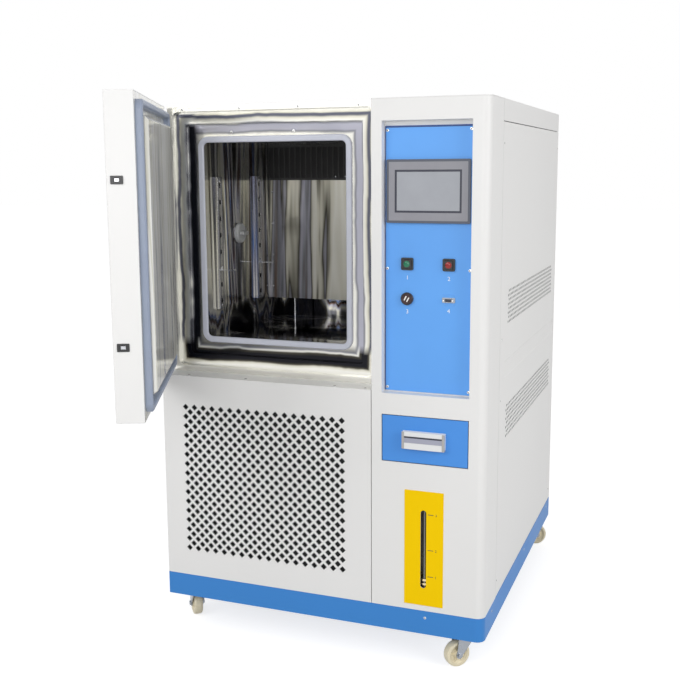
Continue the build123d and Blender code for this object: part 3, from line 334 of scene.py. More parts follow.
def rounded_loop(width, height, radius, steps=6):
    """Points of a rounded rectangle round the origin, anticlockwise."""
    points = []
    for sx, sy, start in ((1, 1, 0), (-1, 1, 90), (-1, -1, 180), (1, -1, 270)):
        cx, cy = sx * (width / 2 - radius), sy * (height / 2 - radius)
        for i in range(steps + 1):
            angle = math.radians(start + 90 * i / steps)
            points.append((cx + radius * math.cos(angle), cy + radius * math.sin(angle)))
    return points


def slab(bm, points, low, high, place, inner=None):
    """A prism of a closed outline, with an optional hole of as many points."""
    loops = [
        [bm.verts.new(place @ Vector((x, y, low))) for x, y in outline]
        for outline in (points, inner) if outline is not None
    ]
    if inner is None:
        faces = [bm.faces.new(loops[0])]
    else:
        edges = [bm.edges.new(pair) for loop in loops for pair in zip(loop, loop[1:] + loop[:1])]
        faces = bmesh.ops.bridge_loops(bm, edges=edges)["faces"]
    made = bmesh.ops.extrude_face_region(bm, geom=faces, use_keep_orig=True)["geom"]
    bmesh.ops.translate(
        bm, verts=[item for item in made if isinstance(item, bmesh.types.BMVert)],
        vec=place.to_3x3() @ Vector((0, 0, high - low)),
    )


def screw(bm, place, normal, radius=0.0042, height=0.0018):
    """A pan head with a cross recess."""
    seat = facing(place, normal)
    lathe(
        bm,
        [(radius, 0.0), (radius, height * 0.35), (radius * 0.86, height * 0.8),
         (radius * 0.5, height), (radius * 0.42, height), (radius * 0.12, height * 0.55),
         (0.0, height * 0.5)],
        seat,
        steps=20,
    )


def cross(bm, place, normal, radius=0.0042, height=0.0018):
    """The cross recess in a screw's head, as dark slabs: painted shade."""
    seat = facing(place, normal)
    for turn in (0.4, 0.4 + math.pi / 2):
        spin = seat @ Matrix.Rotation(turn, 4, "Z")
        slab(
            bm,
            rounded_loop(radius * 1.25, radius * 0.26, radius * 0.1, 2),
            height * 0.7, height * 1.04, spin,
        )


MATERIALS = {}


class ChamberLook(bpy.types.PropertyGroup):
    """Colours of the chamber's finishes."""

    white: bpy.props.FloatVectorProperty(
        name="Cabinet", description="Powder coat of the cabinet", subtype="COLOR",
        default=(0.80, 0.795, 0.785), min=0, max=1)
    blue: bpy.props.FloatVectorProperty(
        name="Blue", description="Powder coat of the base and drawer", subtype="COLOR",
        default=(0.048, 0.235, 0.62), min=0, max=1)
    drawer_blue: bpy.props.FloatVectorProperty(
        name="Drawer", description="Powder coat of the drawer's front", subtype="COLOR",
        default=(0.072, 0.285, 0.76), min=0, max=1)
    panel_blue: bpy.props.FloatVectorProperty(
        name="Panel", description="Control plate", subtype="COLOR",
        default=(0.115, 0.38, 0.92), min=0, max=1)
    yellow: bpy.props.FloatVectorProperty(
        name="Gauge", description="Level gauge plate", subtype="COLOR",
        default=(0.95, 0.62, 0.0), min=0, max=1)
    silicone: bpy.props.FloatVectorProperty(
        name="Seal", description="Silicone seals", subtype="COLOR",
        default=(0.60, 0.62, 0.71), min=0, max=1)


class ChamberSizes(bpy.types.PropertyGroup):
    """Sizes of the fine detail."""

    slot_length: bpy.props.FloatProperty(
        name="Vent slot", description="Length of a side vent's slot", default=0.0092,
        unit="LENGTH")
    slot_width: bpy.props.FloatProperty(
        name="Vent slot width", description="Width of a side vent's slot", default=0.0095,
        unit="LENGTH")
    slot_pitch: bpy.props.FloatProperty(
        name="Vent pitch", description="Distance between slots in a row", default=0.0202,
        unit="LENGTH")
    vent_rows: bpy.props.IntProperty(
        name="Vent rows", description="Rows of slots in a side vent", default=8, min=1)


class CHAMBER_OT_finishes(bpy.types.Operator):
    """Give every CAD node its finish"""

    bl_idname = "chamber.finishes"
    bl_label = "Apply finishes"

    def execute(self, context):
        look = context.scene.chamber_look
        made = MATERIALS
        made["white"] = painted("cabinet_white", tuple(look.white), 0.40)
        made["blue"] = painted("base_blue", tuple(look.blue), 0.45, gloss=0.25)
        made["drawer"] = painted("drawer_blue", tuple(look.drawer_blue), 0.40, gloss=0.3)
        made["panel"] = painted(
            "panel_blue", tuple(look.panel_blue), 0.45, peel=0.02, low=0.80, high=1.15)
        made["yellow"] = painted("gauge_yellow", tuple(look.yellow), 0.5, peel=0.01, gloss=0.08)
        # Colours of the painted reflections below: the dark and pale things of a room and its
        # shade, painted into the steel's colour.
        ink, olive, steel = (0.006, 0.006, 0.010), (0.060, 0.055, 0.040), (0.22, 0.225, 0.25)
        lilac, beige, cream = (0.42, 0.42, 0.49), (0.68, 0.66, 0.56), (0.84, 0.83, 0.77)
        slate, pale = (0.11, 0.115, 0.15), (0.92, 0.91, 0.87)
        sky, copper = (0.04, 0.13, 0.38), (0.12, 0.065, 0.04)
        # The liner's bands are painted reflections, darker towards the bottom with painted shade.
        made["mirror"] = steel_with_painted_reflections(
            "liner_steel",
            [(0.00, ink), (0.14, ink), (0.22, olive), (0.28, steel), (0.34, beige), (0.40, lilac),
             (0.44, copper), (0.47, ink), (0.50, steel), (0.53, sky), (0.56, lilac), (0.62, cream),
             (0.74, beige), (0.79, olive), (0.83, steel), (0.90, cream), (1.0, cream)],
            (6.0, 9.0, 0.5), fade=(0.905, 0.985, -0.34, 0.10), rough=0.07, ripple=0.08, wobble=0.48,
            shine=0.70)
        # The baffle's bands are painted reflections, darker towards its left with painted shade.
        made["baffle_steel"] = steel_with_painted_reflections(
            "baffle_steel",
            [(0.0, ink), (0.10, olive), (0.20, steel), (0.28, olive), (0.38, copper), (0.46, steel),
             (0.54, lilac), (0.60, olive), (0.68, beige), (0.80, cream), (1.0, beige)],
            (11.0, 9.0, 0.7), (1.0, 0.0, 0.0), (-0.26, -0.10, -0.04, 0.55), 0.16, 0.08, wobble=0.34,
            shine=0.22)
        # The mouth frame's bands are painted reflections round the mouth; its left side and its
        # bottom have darker bands of their own, painted shade.
        made["frame_steel"] = steel_with_painted_reflections(
            "frame_steel",
            [(0.0, beige), (0.08, cream), (0.20, cream), (0.27, steel), (0.32, lilac),
             (0.45, lilac), (0.50, steel), (0.55, cream), (0.62, beige), (0.68, slate),
             (0.73, slate), (0.77, beige), (0.86, cream), (1.0, cream)],
            (5.0, 5.0, 5.0), rough=0.16, ripple=0.08,
            ring=MOUTH, wobble=0.05, shine=0.70,
            sides=(
                ([(0.0, cream), (0.10, lilac), (0.18, steel), (0.26, ink), (0.44, ink),
                  (0.50, steel), (0.55, cream), (0.68, beige), (0.72, slate), (0.78, slate),
                  (0.83, cream), (1.0, cream)], "X", -0.425, -0.405),
                ([(0.0, beige), (0.08, olive), (0.18, ink), (0.26, steel), (0.31, cream),
                  (0.36, olive), (0.44, ink), (0.62, ink), (0.67, olive), (0.72, beige),
                  (0.78, cream), (1.0, cream)], "Z", 0.880, 0.905),
            ))
        # The door pan's bands are painted reflections, mostly pale, darker towards the bottom.
        made["pan_steel"] = steel_with_painted_reflections(
            "pan_steel",
            [(0.0, slate), (0.04, lilac), (0.10, beige), (0.22, cream), (0.32, lilac),
             (0.40, cream), (0.54, pale), (0.62, beige), (0.70, pale), (1.0, pale)],
            (14.0, 14.0, 0.4), fade=(1.10, 1.30, 0.04, 0.24), rough=0.13, ripple=0.08, wobble=0.42,
            shine=0.20)
        # The uprights' bands are painted reflections.
        made["upright"] = steel_with_painted_reflections(
            "upright_steel",
            [(0.0, slate), (0.25, steel), (0.40, lilac), (0.52, cream), (0.60, steel),
             (0.75, lilac), (1.0, steel)],
            (60.0, 60.0, 0.6), rough=0.14, ripple=0.05, wobble=0.5, shine=0.8)
        made["satin"] = metal("satin_steel", (0.56, 0.57, 0.60), 0.22, (1, 1, 60))
        made["zinc"] = metal("zinc_plate", (0.33, 0.35, 0.38), 0.30, (1, 1, 1), scratch=0.2)
        made["screw"] = metal("screw_steel", (0.70, 0.70, 0.70), 0.25, (1, 1, 1), 0.0002)
        made["fins"] = metal("coil_fins", (0.35, 0.35, 0.36), 0.4, (60, 1, 1))
        made["silicone"] = moulded("seal_silicone", tuple(look.silicone), 0.42, 0.03, edge=0.0025)
        made["door_seal"] = moulded("door_seal", (0.30, 0.35, 0.46), 0.42, 0.03, edge=0.004)
        made["port"] = moulded("port_silicone", (0.62, 0.63, 0.64), 0.40, 0.03)
        made["black"] = moulded("black_moulding", (0.012, 0.012, 0.013), 0.38, 0.08)
        made["vent_dark"] = moulded("vent_shadow", (0.075, 0.075, 0.078), 0.7, 0.1)
        # A near-black for painted shade: the strips and sheets inside the working space and the
        # machine space.
        made["dark"] = moulded("painted_shade_black", (0.010, 0.010, 0.011), 0.7, 0.1)
        made["black_paint"] = painted("black_coat", (0.015, 0.015, 0.016), 0.4)
        made["bezel"] = moulded("screen_bezel", (0.26, 0.26, 0.29), 0.35, 0.06)
        made["glass"] = moulded("screen_glass", (0.37, 0.385, 0.42), 0.16, 0.0)
        made["rim"] = moulded("screen_rim", (0.022, 0.024, 0.042), 0.35, 0.0)
        # Dark blue for the painted shadow along the control plate's top and left edges.
        made["painted_shadow_blue"] = painted("painted_shadow_blue", (0.02, 0.06, 0.22), 0.5)
        made["bezel_edge"] = moulded("bezel_edge", (0.075, 0.085, 0.115), 0.4, 0.05)
        made["brass"] = metal("brass", (0.72, 0.60, 0.36), 0.25, (1, 1, 1))
        made["red_black"] = moulded("buzzer_moulding", (0.035, 0.008, 0.010), 0.3, 0.05)
        made["bright"] = metal("bright_nickel", (0.80, 0.78, 0.76), 0.2, (1, 1, 1))
        made["end_cap"] = painted("pull_end_cap", (0.42, 0.41, 0.40), 0.4)
        made["lavender"] = painted("pull_recess", (0.36, 0.37, 0.46), 0.4)
        made["cream"] = moulded("wheel_nylon", (0.80, 0.72, 0.52), 0.35, 0.05)
        made["grey"] = moulded("grey_moulding", (0.42, 0.43, 0.44), 0.45, 0.05)
        made["pull"] = painted("pull_enamel", (0.78, 0.79, 0.80), 0.3)
        made["green"] = moulded("green_lens", (0.004, 0.15, 0.075), 0.15, 0.0, glow=0.12)
        made["red"] = moulded("red_lens", (0.26, 0.010, 0.008), 0.15, 0.0, glow=0.12)
        made["foam"] = moulded("pu_foam", (0.72, 0.62, 0.36), 0.85, 0.5, 700)
        made["ink"] = moulded("ink", (0.03, 0.03, 0.03), 0.6, 0.0)
        made["white_ink"] = moulded("white_ink", (0.85, 0.88, 0.92), 0.6, 0.0)
        made["tank"] = moulded("tank_plastic", (0.62, 0.63, 0.62), 0.5, 0.1)
        made["tube"] = moulded("gauge_hose", (0.10, 0.10, 0.09), 0.12, 0.0)
        finish = {
            "white": "control_fascia grille_panel top_cover side_panel_left side_panel_right "
            "rear_panel door_skin",
            "blue": "base_tray",
            "drawer": "drawer_front",
            "panel": "control_plate",
            "yellow": "gauge_plate",
            "mirror": "chamber_liner",
            "baffle_steel": "air_baffle",
            "frame_steel": "mouth_frame",
            "pan_steel": "door_plug",
            "upright": "shelf_uprights",
            "satin": "shelf_brackets cable_port_sleeve hinge_leaves_fixed "
            "hinge_leaves_door heater latch_bolts",
            "zinc": "data_port inner_frame caster_plates drawer_cradle caster_fork_front_left "
            "caster_fork_front_right caster_fork_rear_left caster_fork_rear_right",
            "foam": "chamber_insulation door_foam",
            "silicone": "mouth_gasket",
            "door_seal": "door_gasket",
            "port": "port_plug",
            "black_paint": "outlet_grille compressor fan_motor condenser",
            "black": "button_bezels green_button red_button latch_plates cable_gland condenser_fan "
            "door_handle",
            "red_black": "alarm_buzzer",
            "bezel": "screen_housing",
            "glass": "screen_glass",
            "fins": "evaporator fan_wheel",
            "cream": "caster_wheel_front_left caster_wheel_front_right caster_wheel_rear_left "
            "caster_wheel_rear_right",
            "tube": "gauge_tube",
            "tank": "supply_tank drawer_tray",
            "grey": "electrical_board",
            "pull": "drawer_pull",
        }
        painted_nodes = set()
        for key, names in finish.items():
            for name in names.split():
                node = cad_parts[name]
                node.data.materials.clear()
                node.data.materials.append(made[key])
                painted_nodes.add(name)
        missing = set(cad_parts) - painted_nodes
        if missing:
            raise RuntimeError(f"no finish for {sorted(missing)}")
        return {"FINISHED"}


class CHAMBER_OT_side_panel(bpy.types.Operator):
    """Build the right side panel with its two slotted vents and the pressed band"""

    bl_idname = "chamber.side_panel"
    bl_label = "Build side panel"

    def execute(self, context):
        sizes = context.scene.chamber_sizes
        low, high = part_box("side_panel_right")
        x_out, x_in = high.x, high.x - 0.002
        y0, y1, z0, z1 = low.y, high.y, low.z, high.z
        pitch, rows = sizes.slot_pitch, sizes.vent_rows
        columns, row_h = 39, 0.0129
        slot_lip, slot_floor = 0.0001, 0.0006
        bm, slots = bmesh.new(), bmesh.new()

        def quad(corners):
            bm.faces.new([bm.verts.new(Vector(c)) for c in corners])

        def plate(ya, yb, za, zb):
            if yb - ya > 1e-6 and zb - za > 1e-6:
                quad([(x_out, ya, za), (x_out, yb, za), (x_out, yb, zb), (x_out, ya, zb)])

        def cell(ya, yb, za, zb):
            yc, zc = (ya + yb) / 2, (za + zb) / 2
            half_w, half_l = sizes.slot_width / 2, sizes.slot_length / 2
            cut = half_w * 0.55
            outer = [(yb, za), (yb, zc), (yb, zb), (yc, zb), (ya, zb), (ya, zc), (ya, za), (yc, za)]
            left, right = yc - half_w, yc + half_w
            foot, head = zc - half_l, zc + half_l
            hole = [
                (right, foot + cut), (right, zc), (right, head - cut), (yc, head),
                (left, head - cut), (left, zc), (left, foot + cut), (yc, foot),
            ]
            ring_out = [bm.verts.new(Vector((x_out, y, z))) for y, z in outer]
            ring_hole = [bm.verts.new(Vector((x_out, y, z))) for y, z in hole]
            lip = [slots.verts.new(Vector((x_out - slot_lip, y, z))) for y, z in hole]
            deep = [slots.verts.new(Vector((x_out - slot_floor, y, z))) for y, z in hole]
            slots.faces.new(deep)
            for i in range(8):
                j = (i + 1) % 8
                bm.faces.new((ring_out[i], ring_out[j], ring_hole[j], ring_hole[i]))
                slots.faces.new((lip[i], lip[j], deep[j], deep[i]))

        vent_starts = ((-0.312, 0.625), (-0.307, 0.965))
        z_mark, strip = z0, None
        for y_start, z_start in vent_starts:
            if strip is None:
                plate(y0, y1, z_mark, z_start)
            strip = (z_mark, z_start)
            for row in range(rows):
                za, zb = z_start + row * row_h, z_start + (row + 1) * row_h
                ya = y_start + (pitch / 2 if row % 2 else 0.0)
                plate(y0, ya, za, zb)
                count = columns - row % 2
                for column in range(count):
                    cell(ya + column * pitch, ya + (column + 1) * pitch, za, zb)
                plate(ya + count * pitch, y1, za, zb)
            z_mark = z_start + rows * row_h
        plate(y0, y1, z_mark, z1)
        band_low, band_high, depth, slope = 0.812, 0.863, 0.0022, 0.006
        plate(y0, y1, strip[0], band_low)
        plate(y0, y1, band_high, strip[1])
        ya, yb = y0 + 0.058, y1 - 0.012
        plate(y0, ya, band_low, band_high)
        plate(yb, y1, band_low, band_high)
        outer = [(ya, band_low), (yb, band_low), (yb, band_high), (ya, band_high)]
        inner = [
            (ya + slope, band_low + slope), (yb - slope, band_low + slope),
            (yb - slope, band_high - slope), (ya + slope, band_high - slope),
        ]
        for i in range(4):
            j = (i + 1) % 4
            quad([
                (x_out, *outer[i]), (x_out, *outer[j]),
                (x_out - depth, *inner[j]), (x_out - depth, *inner[i]),
            ])
        quad([(x_out - depth, *point) for point in inner])
        edge = [(y0, z0), (y1, z0), (y1, z1), (y0, z1)]
        for i in range(4):
            j = (i + 1) % 4
            quad([(x_out, *edge[i]), (x_out, *edge[j]), (x_in, *edge[j]), (x_in, *edge[i])])
        bmesh.ops.remove_doubles(bm, verts=bm.verts, dist=1e-6)
        piece = finish_piece(
            "side_panel_vented", bm, MATERIALS["white"], "cabinet")
        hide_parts("side_panel_right")
        finish_piece("vent_slots", slots, MATERIALS["vent_dark"], "cabinet")
        return {"FINISHED"}


class CHAMBER_OT_screws(bpy.types.Operator):
    """Place the panel screws"""

    bl_idname = "chamber.screws"
    bl_label = "Place screws"

    def execute(self, context):
        groups = {
            "side_screws": [
                ((SIDE_X - SUNK, y, z), (1, 0, 0))
                for y, z in ((-0.392, 1.480), (0.552, 1.479), (-0.380, 0.931), (-0.388, 0.755),
                             (-0.395, 0.220), (0.530, 0.211))
            ],
            "flange_screws": [
                ((x, -0.485, 1.590), OUTWARD) for x in (-0.448, -0.260, -0.074, 0.110)
            ] + [
                ((x, -0.458, 1.522), OUTWARD) for x in (-0.30, -0.10)
            ],
            "ledge_screws": [
                ((x, -0.545, 0.800), (0, 0, 1)) for x in (-0.417, -0.227, 0.055, 0.148)
            ],
            "panel_screws": [
                ((x, PLATE_Y, z), OUTWARD)
                for x in (PANEL_X - 0.116, PANEL_X + 0.116) for z in (0.808, 1.141, 1.515)
            ],
            "base_screws": [((0.331, FRONT_Y + SUNK, 0.149), OUTWARD)]
            + [((SIDE_X - SUNK, y, 0.149), (1, 0, 0)) for y in (-0.45, 0.05, 0.50)],
            "left_screws": [
                ((SUNK - SIDE_X, y, z), (-1, 0, 0))
                for y in (-0.36, 0.08, 0.53) for z in (0.20, 0.78, 1.51)
            ],
            "rear_screws": [
                ((x, REAR_Y - SUNK, z), (0, 1, 0))
                for x in (-0.47, 0.0, 0.47) for z in (0.20, 0.85, 1.51)
            ],
            "top_screws": [
                ((x, y, TOP_Z - SUNK), (0, 0, 1))
                for x in (-0.47, 0.0, 0.47) for y in (-0.30, 0.12, 0.53)
            ],
        }
        for name, places in groups.items():
            heads, painted_recess_shades = bmesh.new(), bmesh.new()
            for place, normal in places:
                screw(heads, place, normal)
                cross(painted_recess_shades, place, normal)
            finish_piece(name, heads, MATERIALS["screw"], "cabinet", smooth=True)
            # The cross recesses are near-black slabs: painted shade in the recesses.
            finish_piece(f"{name}_recess", painted_recess_shades, MATERIALS["ink"], "cabinet")
        return {"FINISHED"}


class CHAMBER_OT_controls(bpy.types.Operator):
    """Detail the screen, buttons and gauge"""

    bl_idname = "chamber.controls"
    bl_label = "Detail controls"

    def execute(self, context):
        low, high, seat = front_seat("screen_glass")
        width, height = high.x - low.x, high.z - low.z
        rim = bmesh.new()
        slab(
            rim, rounded_loop(width, height, 0.001, 3), 0.0, 0.0006, seat,
            rounded_loop(width - 0.011, height - 0.011, 0.001, 3),
        )
        finish_piece("screen_rim", rim, MATERIALS["rim"], "cabinet")
        low, high, seat = front_seat("screen_housing")
        bezel = bmesh.new()
        width, height = high.x - low.x, high.z - low.z
        slab(
            bezel, rounded_loop(width, height, 0.003, 4), -0.0004, 0.0004, seat,
            rounded_loop(width - 0.013, height - 0.013, 0.002, 4),
        )
        finish_piece("bezel_edge", bezel, MATERIALS["bezel_edge"], "cabinet")
        low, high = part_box("control_plate")
        # A dark blue strip along the plate's top edge and down its left edge: painted shadow under
        # the pocket's lip.
        shadow_strips = bmesh.new()
        block(shadow_strips, (low.x, low.y - 0.0004, high.z - 0.005), (high.x, low.y + 0.0006, high.z))
        block(shadow_strips, (low.x, low.y - 0.0004, low.z), (low.x + 0.0025, low.y + 0.0006, high.z - 0.005))
        finish_piece("plate_painted_shadow", shadow_strips, MATERIALS["painted_shadow_blue"], "cabinet")
        dome = [(0.0, 0.0022), (0.004, 0.0021), (0.0075, 0.0015), (0.009, 0.0003), (0.009, -0.001)]
        for name, x in (("green", PANEL_X - ASIDE), ("red", PANEL_X + ASIDE)):
            low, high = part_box(f"{name}_button")
            lens = bmesh.new()
            lathe(lens, dome, facing((x, low.y, (low.z + high.z) / 2), OUTWARD), 32)
            finish_piece(f"{name}_lens", lens, MATERIALS[name], f"{name}_button",
                         smooth=True)
        low, high, face = front_seat("alarm_buzzer")
        slots, ring = bmesh.new(), bmesh.new()
        for shift in (-0.0042, 0.0042):
            lean = Matrix.Rotation(math.radians(-28), 4, "Z")
            place = face @ lean @ Matrix.Translation((shift, 0, 0))
            slab(slots, rounded_loop(0.0034, 0.0135, 0.0012, 3), -0.0004, 0.0005, place)
        finish_piece("buzzer_slots", slots, MATERIALS["bright"], "cabinet")
        radius = (high.x - low.x) / 2
        lathe(ring, [(radius * 0.80, 0.0), (radius * 0.84, 0.0010), (radius * 0.92, 0.0010),
                     (radius * 0.96, 0.0)], face, 40)
        finish_piece("buzzer_ring", ring, MATERIALS["black"], "cabinet", True)
        low, high, place = front_seat("data_port")
        socket, jacks, cover = bmesh.new(), bmesh.new(), bmesh.new()
        slab(cover, rounded_loop(0.032, 0.030, 0.004), 0.0, 0.0004,
             facing(((low.x + high.x) / 2, PLATE_Y, (low.z + high.z) / 2), OUTWARD))
        finish_piece("socket_cover", cover, MATERIALS["panel"], "cabinet")
        slab(socket, [(0.0088, 0.0042), (-0.0088, 0.0042), (-0.0072, -0.0042), (0.0072, -0.0042)],
             -0.0003, 0.0006, place)
        finish_piece("socket_insert", socket, MATERIALS["rim"], "cabinet")
        for side in (-1, 1):
            jack = place @ Matrix.Translation((side * 0.0125, 0, 0))
            slab(jacks, hexagon(0.0024), -0.0003, 0.0028, jack)
        finish_piece("socket_jacks", jacks, MATERIALS["bright"], "cabinet")
        low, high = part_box("drawer_pull")
        middle, span, tall = (low.x + high.x) / 2, high.x - low.x, high.z - low.z
        for name, key, z0, z1, inset, rise in (
            ("pull_top_band", "pull", 0.74, 1.00, 0.0, 0.0012),
            ("pull_groove", "rim", 0.64, 0.74, 0.004, 0.0004),
            ("pull_recess", "lavender", 0.36, 0.64, 0.004, 0.0005),
            ("pull_low_band", "pull", 0.00, 0.36, 0.0, 0.0010),
        ):
            band = bmesh.new()
            seat = facing((middle, low.y, low.z + tall * (z0 + z1) / 2), OUTWARD)
            outline = rounded_loop(span - 2 * inset, tall * (z1 - z0), 0.0012, 3)
            slab(band, outline, -0.0006, rise, seat)
            finish_piece(name, band, MATERIALS[key], "drawer")
        caps = bmesh.new()
        for side in (-1, 1):
            x = middle + side * (span / 2 - 0.0035)
            seat = facing((x, low.y, (low.z + high.z) / 2), OUTWARD)
            slab(caps, rounded_loop(0.007, tall * 0.98, 0.0018, 3), -0.0006, 0.0018, seat)
        finish_piece("pull_end_caps", caps, MATERIALS["end_cap"], "drawer")
        low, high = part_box("gauge_tube")
        middle = (low.x + high.x) / 2
        highlight_strip, fitting = bmesh.new(), bmesh.new()
        # A pale line down the hose, beside its middle: a painted highlight.
        slab(highlight_strip, rounded_loop(0.0016, high.z - low.z - 0.02, 0.0006, 3), -0.0002, 0.0004,
             facing((middle + 0.0012, low.y, (low.z + high.z) / 2), OUTWARD))
        finish_piece("gauge_painted_highlight", highlight_strip, MATERIALS["end_cap"], "cabinet")
        top = facing((middle, (low.y + high.y) / 2, max(low.z, 0.243)), (0, 0, 1))
        size = (high.y - low.y) / 2
        profile = ((0.5, 0.0), (1.06, 0.0), (1.06, 0.006), (0.8, 0.008), (0.8, 0.010),
                   (1.04, 0.012), (1.04, 0.018), (0.5, 0.018))
        lathe(fitting, [(size * share, height) for share, height in profile], top, 24)
        finish_piece("gauge_fitting", fitting, MATERIALS["brass"], "cabinet", True)
        face_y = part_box("gauge_plate")[0].y
        ticks = bmesh.new()
        for z in GAUGE_MARKS:
            block(ticks, (0.338, face_y - 0.0003, z - 0.0008), (0.354, face_y + 0.0005, z + 0.0008))
        finish_piece("gauge_ticks", ticks, MATERIALS["ink"], "cabinet")
        return {"FINISHED"}


class CHAMBER_OT_casters(bpy.types.Operator):
    """Build the caster wheels, their races and axle nuts"""

    bl_idname = "chamber.casters"
    bl_label = "Build casters"

    def execute(self, context):
        trail, radius = 0.030, 0.0375
        places = {
            "front_left": (-0.435, -0.495, 130.0),
            "front_right": (0.435, -0.495, 224.0),
            "rear_left": (-0.435, 0.495, 75.0),
            "rear_right": (0.435, 0.495, 25.0),
        }
        for name, (x, y, turn) in places.items():
            angle = math.radians(turn)
            along = Vector((math.cos(angle), math.sin(angle), 0))
            axis = Vector((-along.y, along.x, 0))
            centre = Vector((x, y, radius)) + along * trail
            seat = facing(centre, axis)
            tread, hub = bmesh.new(), bmesh.new()
            half = 0.0135
            outline = [
                (0.0265, -0.0105), (0.0285, -half), (0.0330, -half), (0.0358, -0.0118),
                (0.0371, -0.0080), (radius, -0.0030), (radius, 0.0030), (0.0371, 0.0080),
                (0.0358, 0.0118), (0.0330, half), (0.0285, half), (0.0265, 0.0105),
            ]
            lathe(tread, outline, seat, 64)
            core = [
                (0.0267, -0.0108), (0.0250, -0.0100), (0.0225, -0.0068), (0.0150, -0.0062),
                (0.0125, -0.0100), (0.0115, -0.0152), (0.0046, -0.0156), (0.0046, 0.0156),
                (0.0115, 0.0152), (0.0125, 0.0100), (0.0150, 0.0062), (0.0225, 0.0068),
                (0.0250, 0.0100), (0.0267, 0.0108),
            ]
            lathe(hub, core, seat, 48)
            for i in range(6):
                spin = seat @ Matrix.Rotation(math.tau * i / 6, 4, "Z")
                slab(
                    hub, [(0.0115, -0.0011), (0.0256, -0.0009), (0.0256, 0.0009), (0.0115, 0.0011)],
                    -0.0094, 0.0094, spin,
                )
            body = f"wheel_{name}"
            piece = finish_piece(
                f"tread_{name}", tread, MATERIALS["cream"], body, True)
            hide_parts(f"caster_wheel_{name}")
            finish_piece(f"hub_{name}", hub, MATERIALS["cream"], body, True)
            fork = bmesh.new()
            top = facing((x, y, 0.0), (0, 0, 1))
            lathe(
                fork,
                [(0.0265, 0.0972), (0.0290, 0.0960), (0.0296, 0.0935), (0.0290, 0.0912),
                 (0.0240, 0.0906), (0.0200, 0.0906)],
                top, 48,
            )
            rivet = [(0.0, 0.0812), (0.0070, 0.0818), (0.0085, 0.0832), (0.0085, 0.0858)]
            lathe(fork, rivet, top, 24)
            for side in (-1, 1):
                nut = facing(centre + axis * side * 0.0201, axis * side)
                slab(fork, hexagon(0.0072), 0.0, 0.0038, nut)
            finish_piece(f"race_{name}", fork, MATERIALS["zinc"], f"fork_{name}", True)
        return {"FINISHED"}


class CHAMBER_OT_interior(bpy.types.Operator):
    """Paint shade behind the upright slots and the grilles, and add the small bolts of the working
    space
    """

    bl_idname = "chamber.interior"
    bl_label = "Detail the working space"

    def execute(self, context):
        low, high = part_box("shelf_uprights")
        shade_strips, bolts = bmesh.new(), bmesh.new()
        # Near-black strips inside each upright, behind its slots: painted shade, so the slots read
        # dark against the mirror wall.
        for y in (-0.345, -0.060):
            for x, side in ((low.x, 1), (high.x, -1)):
                near, far = sorted((x + side * 0.0004, x + side * 0.0090))
                block(shade_strips, (near, y - 0.0066, low.z + 0.004), (far, y + 0.0066, high.z - 0.004))
                for z in (low.z + 0.012, high.z - 0.012):
                    screw(bolts, (x + side * 0.013, y, z), (side, 0, 0), 0.0035, 0.0018)
        finish_piece("upright_painted_shade", shade_strips, MATERIALS["dark"], "cabinet")
        baffle_low, baffle_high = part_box("air_baffle")
        middle = (baffle_low.x + baffle_high.x) / 2
        for x in (baffle_low.x + 0.012, middle + 0.09, baffle_high.x - 0.012):
            for step in range(4):
                z = baffle_low.z + 0.04 + step * (baffle_high.z - baffle_low.z - 0.08) / 3
                screw(bolts, (x, baffle_low.y, z), OUTWARD, 0.0035, 0.0018)
        grille_low, grille_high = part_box("outlet_grille")
        for step in range(7):
            x = grille_low.x + (grille_high.x - grille_low.x) * (0.50 + step * 0.072)
            place = (x, grille_low.y - 0.0002, grille_low.z + 0.012)
            screw(bolts, place, OUTWARD, 0.0028, 0.0016)
        # Near-black sheets behind the outlet grille, behind the perforated front panel and inside
        # the left and rear panels of the machine space: painted shade.
        shade_sheets = bmesh.new()
        block(shade_sheets, (grille_low.x + 0.002, grille_high.y + 0.001, grille_low.z + 0.001),
              (grille_high.x - 0.002, grille_high.y + 0.003, grille_high.z - 0.001))
        block(shade_sheets, (-0.470, FRONT_Y + 0.012, 0.215), (0.128, FRONT_Y + 0.015, 0.775))
        block(shade_sheets, (-0.4950, -0.430, 0.215), (-0.4935, 0.330, 0.640))
        block(shade_sheets, (-0.420, 0.5520, 0.215), (0.200, 0.5535, 0.640))
        finish_piece("painted_shade_sheets", shade_sheets, MATERIALS["dark"], "cabinet")
        finish_piece("space_bolts", bolts, MATERIALS["satin"], "cabinet", True)
        return {"FINISHED"}


class CHAMBER_OT_marks(bpy.types.Operator):
    """Number the controls and the level gauge"""

    bl_idname = "chamber.marks"
    bl_label = "Number controls"

    def execute(self, context):
        def numeral(text, x, y, z, size, key, slot):
            curve = bpy.data.curves.new("numeral", "FONT")
            curve.body = text
            curve.size = size
            curve.align_x = "CENTER"
            curve.extrude = 0.00015
            shape = bpy.data.objects.new("numeral", curve)
            mesh = bpy.data.meshes.new_from_object(shape)
            bpy.data.objects.remove(shape)
            bpy.data.curves.remove(curve)
            mesh.transform(Matrix.Translation((x, y, z)) @ Matrix.Rotation(math.pi / 2, 4, "X"))
            mesh.materials.clear()
            mesh.materials.append(MATERIALS[key])
            mark = bpy.data.objects.new(f"numeral_{slot}_{text}", mesh)
            context.scene.collection.objects.link(mark)
            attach(mark, "cabinet")

        for text, x, z in (
            ("1", PANEL_X - ASIDE, 1.112), ("2", PANEL_X + ASIDE, 1.112),
            ("3", PANEL_X - ASIDE, 1.018), ("4", PANEL_X + ASIDE, 1.024),
        ):
            numeral(text, x, PLATE_Y - 0.0001, z, 0.016, "white_ink", "cabinet_paint")
        for text, z in zip("321", GAUGE_MARKS):
            numeral(text, 0.3615, FRONT_Y - 0.0011, z - 0.0035, 0.010, "ink", "black_metal")
        return {"FINISHED"}


